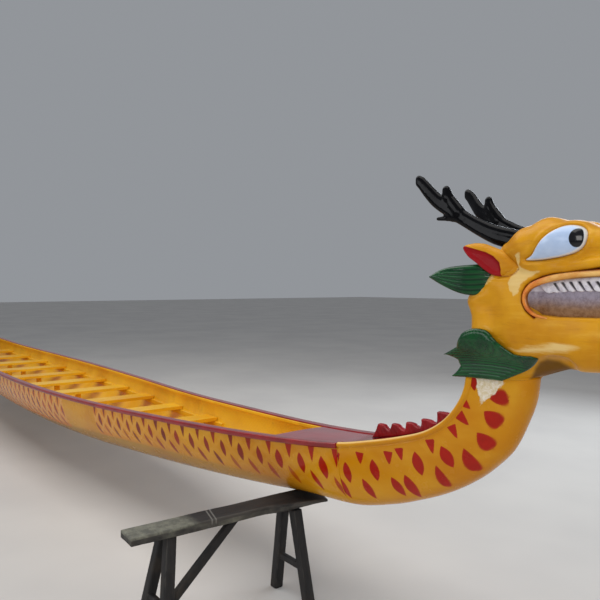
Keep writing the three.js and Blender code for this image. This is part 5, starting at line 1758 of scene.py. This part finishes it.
LIGHTS = [
    # name, place, target, width, height, watts, colour
    ("overhead", (2.5, -1.0, 7.0), (2.5, 0.0, 0.6), 12, 5, 400, (1.0, 0.98, 0.95)),
    ("window_far", (5.0, 6.5, 3.6), (5.5, 0.0, 1.2), 7, 2.2, 200, (0.86, 0.93, 1.0)),
    ("front", (11.0, -4.5, 3.4), (6.0, 0.0, 1.3), 3.2, 3.2, 155, (1.0, 0.97, 0.93)),
    ("side", (2.0, -8.0, 3.0), (3.0, 0.0, 0.7), 8, 2.4, 130, (0.95, 0.97, 1.0)),
]


def add_light(name, place, target, width, height, watts, colour):
    light = bpy.data.lights.new(name, "AREA")
    light.shape = "RECTANGLE"
    light.size, light.size_y = width, height
    light.energy = watts
    light.color = colour
    holder = bpy.data.objects.new(name, light)
    holder.location = place
    holder.rotation_euler = (Vector(target) - Vector(place)).to_track_quat("-Z", "Y").to_euler()
    bpy.context.scene.collection.objects.link(holder)


def build_studio():
    build_floor()
    world = bpy.data.worlds.new("studio")
    world.use_nodes = True
    sky = world.node_tree.nodes["Background"].inputs
    sky["Color"].default_value = (0.80, 0.84, 0.90, 1)
    sky["Strength"].default_value = 0.36
    bpy.context.scene.world = world
    for light in LIGHTS:
        add_light(*light)


CAMERA_PLACE = (7.70, -2.15, 1.69)
CAMERA_WAY = (-0.7976, 0.6032, -0.0233)
CAMERA_LENS = 38.58


def build_camera():
    lens = bpy.data.cameras.new("camera")
    lens.sensor_width = 36.0
    lens.lens = CAMERA_LENS
    lens.clip_end = 200.0
    camera = bpy.data.objects.new("camera", lens)
    camera.location = CAMERA_PLACE
    camera.rotation_euler = Vector(CAMERA_WAY).to_track_quat("-Z", "Y").to_euler()
    bpy.context.scene.collection.objects.link(camera)
    bpy.context.scene.camera = camera


def build_boat():
    outside, inside = scaled_gelcoat(), inside_laminate()
    build_shell(outside, inside)
    build_ledges(inside)
    finish_inside(inside)
    rail = glossy("rail_paint", paint(150, 22, 26), paint(120, 14, 18), 0.2, 0.4, 8, wear=paint(176, 70, 60))
    build_rails(rail)
    build_ends(neck_gelcoat())
    build_decks(glossy("deck_paint", paint(158, 40, 48), paint(138, 28, 36), 0.16, 0.5, 4))
    flame = glossy("flame_paint", paint(150, 10, 20), paint(112, 5, 12), 0.18, 0.15, 12, specular=0.2)
    build_crests(flame)
    yellow, green = dragon_paint(), leaf_paint()
    build_head(yellow)
    build_eyes(eye_paint())
    build_lips(lip_paint())
    build_teeth(tooth_paint())
    tongue = glossy("tongue_paint", paint(170, 30, 36), paint(140, 18, 26), 0.3, 0.2, 20)
    build_mouth(mouth_paint(), tongue)
    build_nose(yellow)
    black = glossy("antler_paint", paint(4, 4, 6), paint(8, 8, 12), 0.16, 0.05, 10, specular=0.12, grain=0)
    build_antlers(black)
    build_ears(yellow)
    build_leaves(green)
    build_tail(yellow, flame, green)
    build_trestles()


bpy.context.scene.view_settings.view_transform = "Standard"
build_camera()
build_studio()
build_boat()
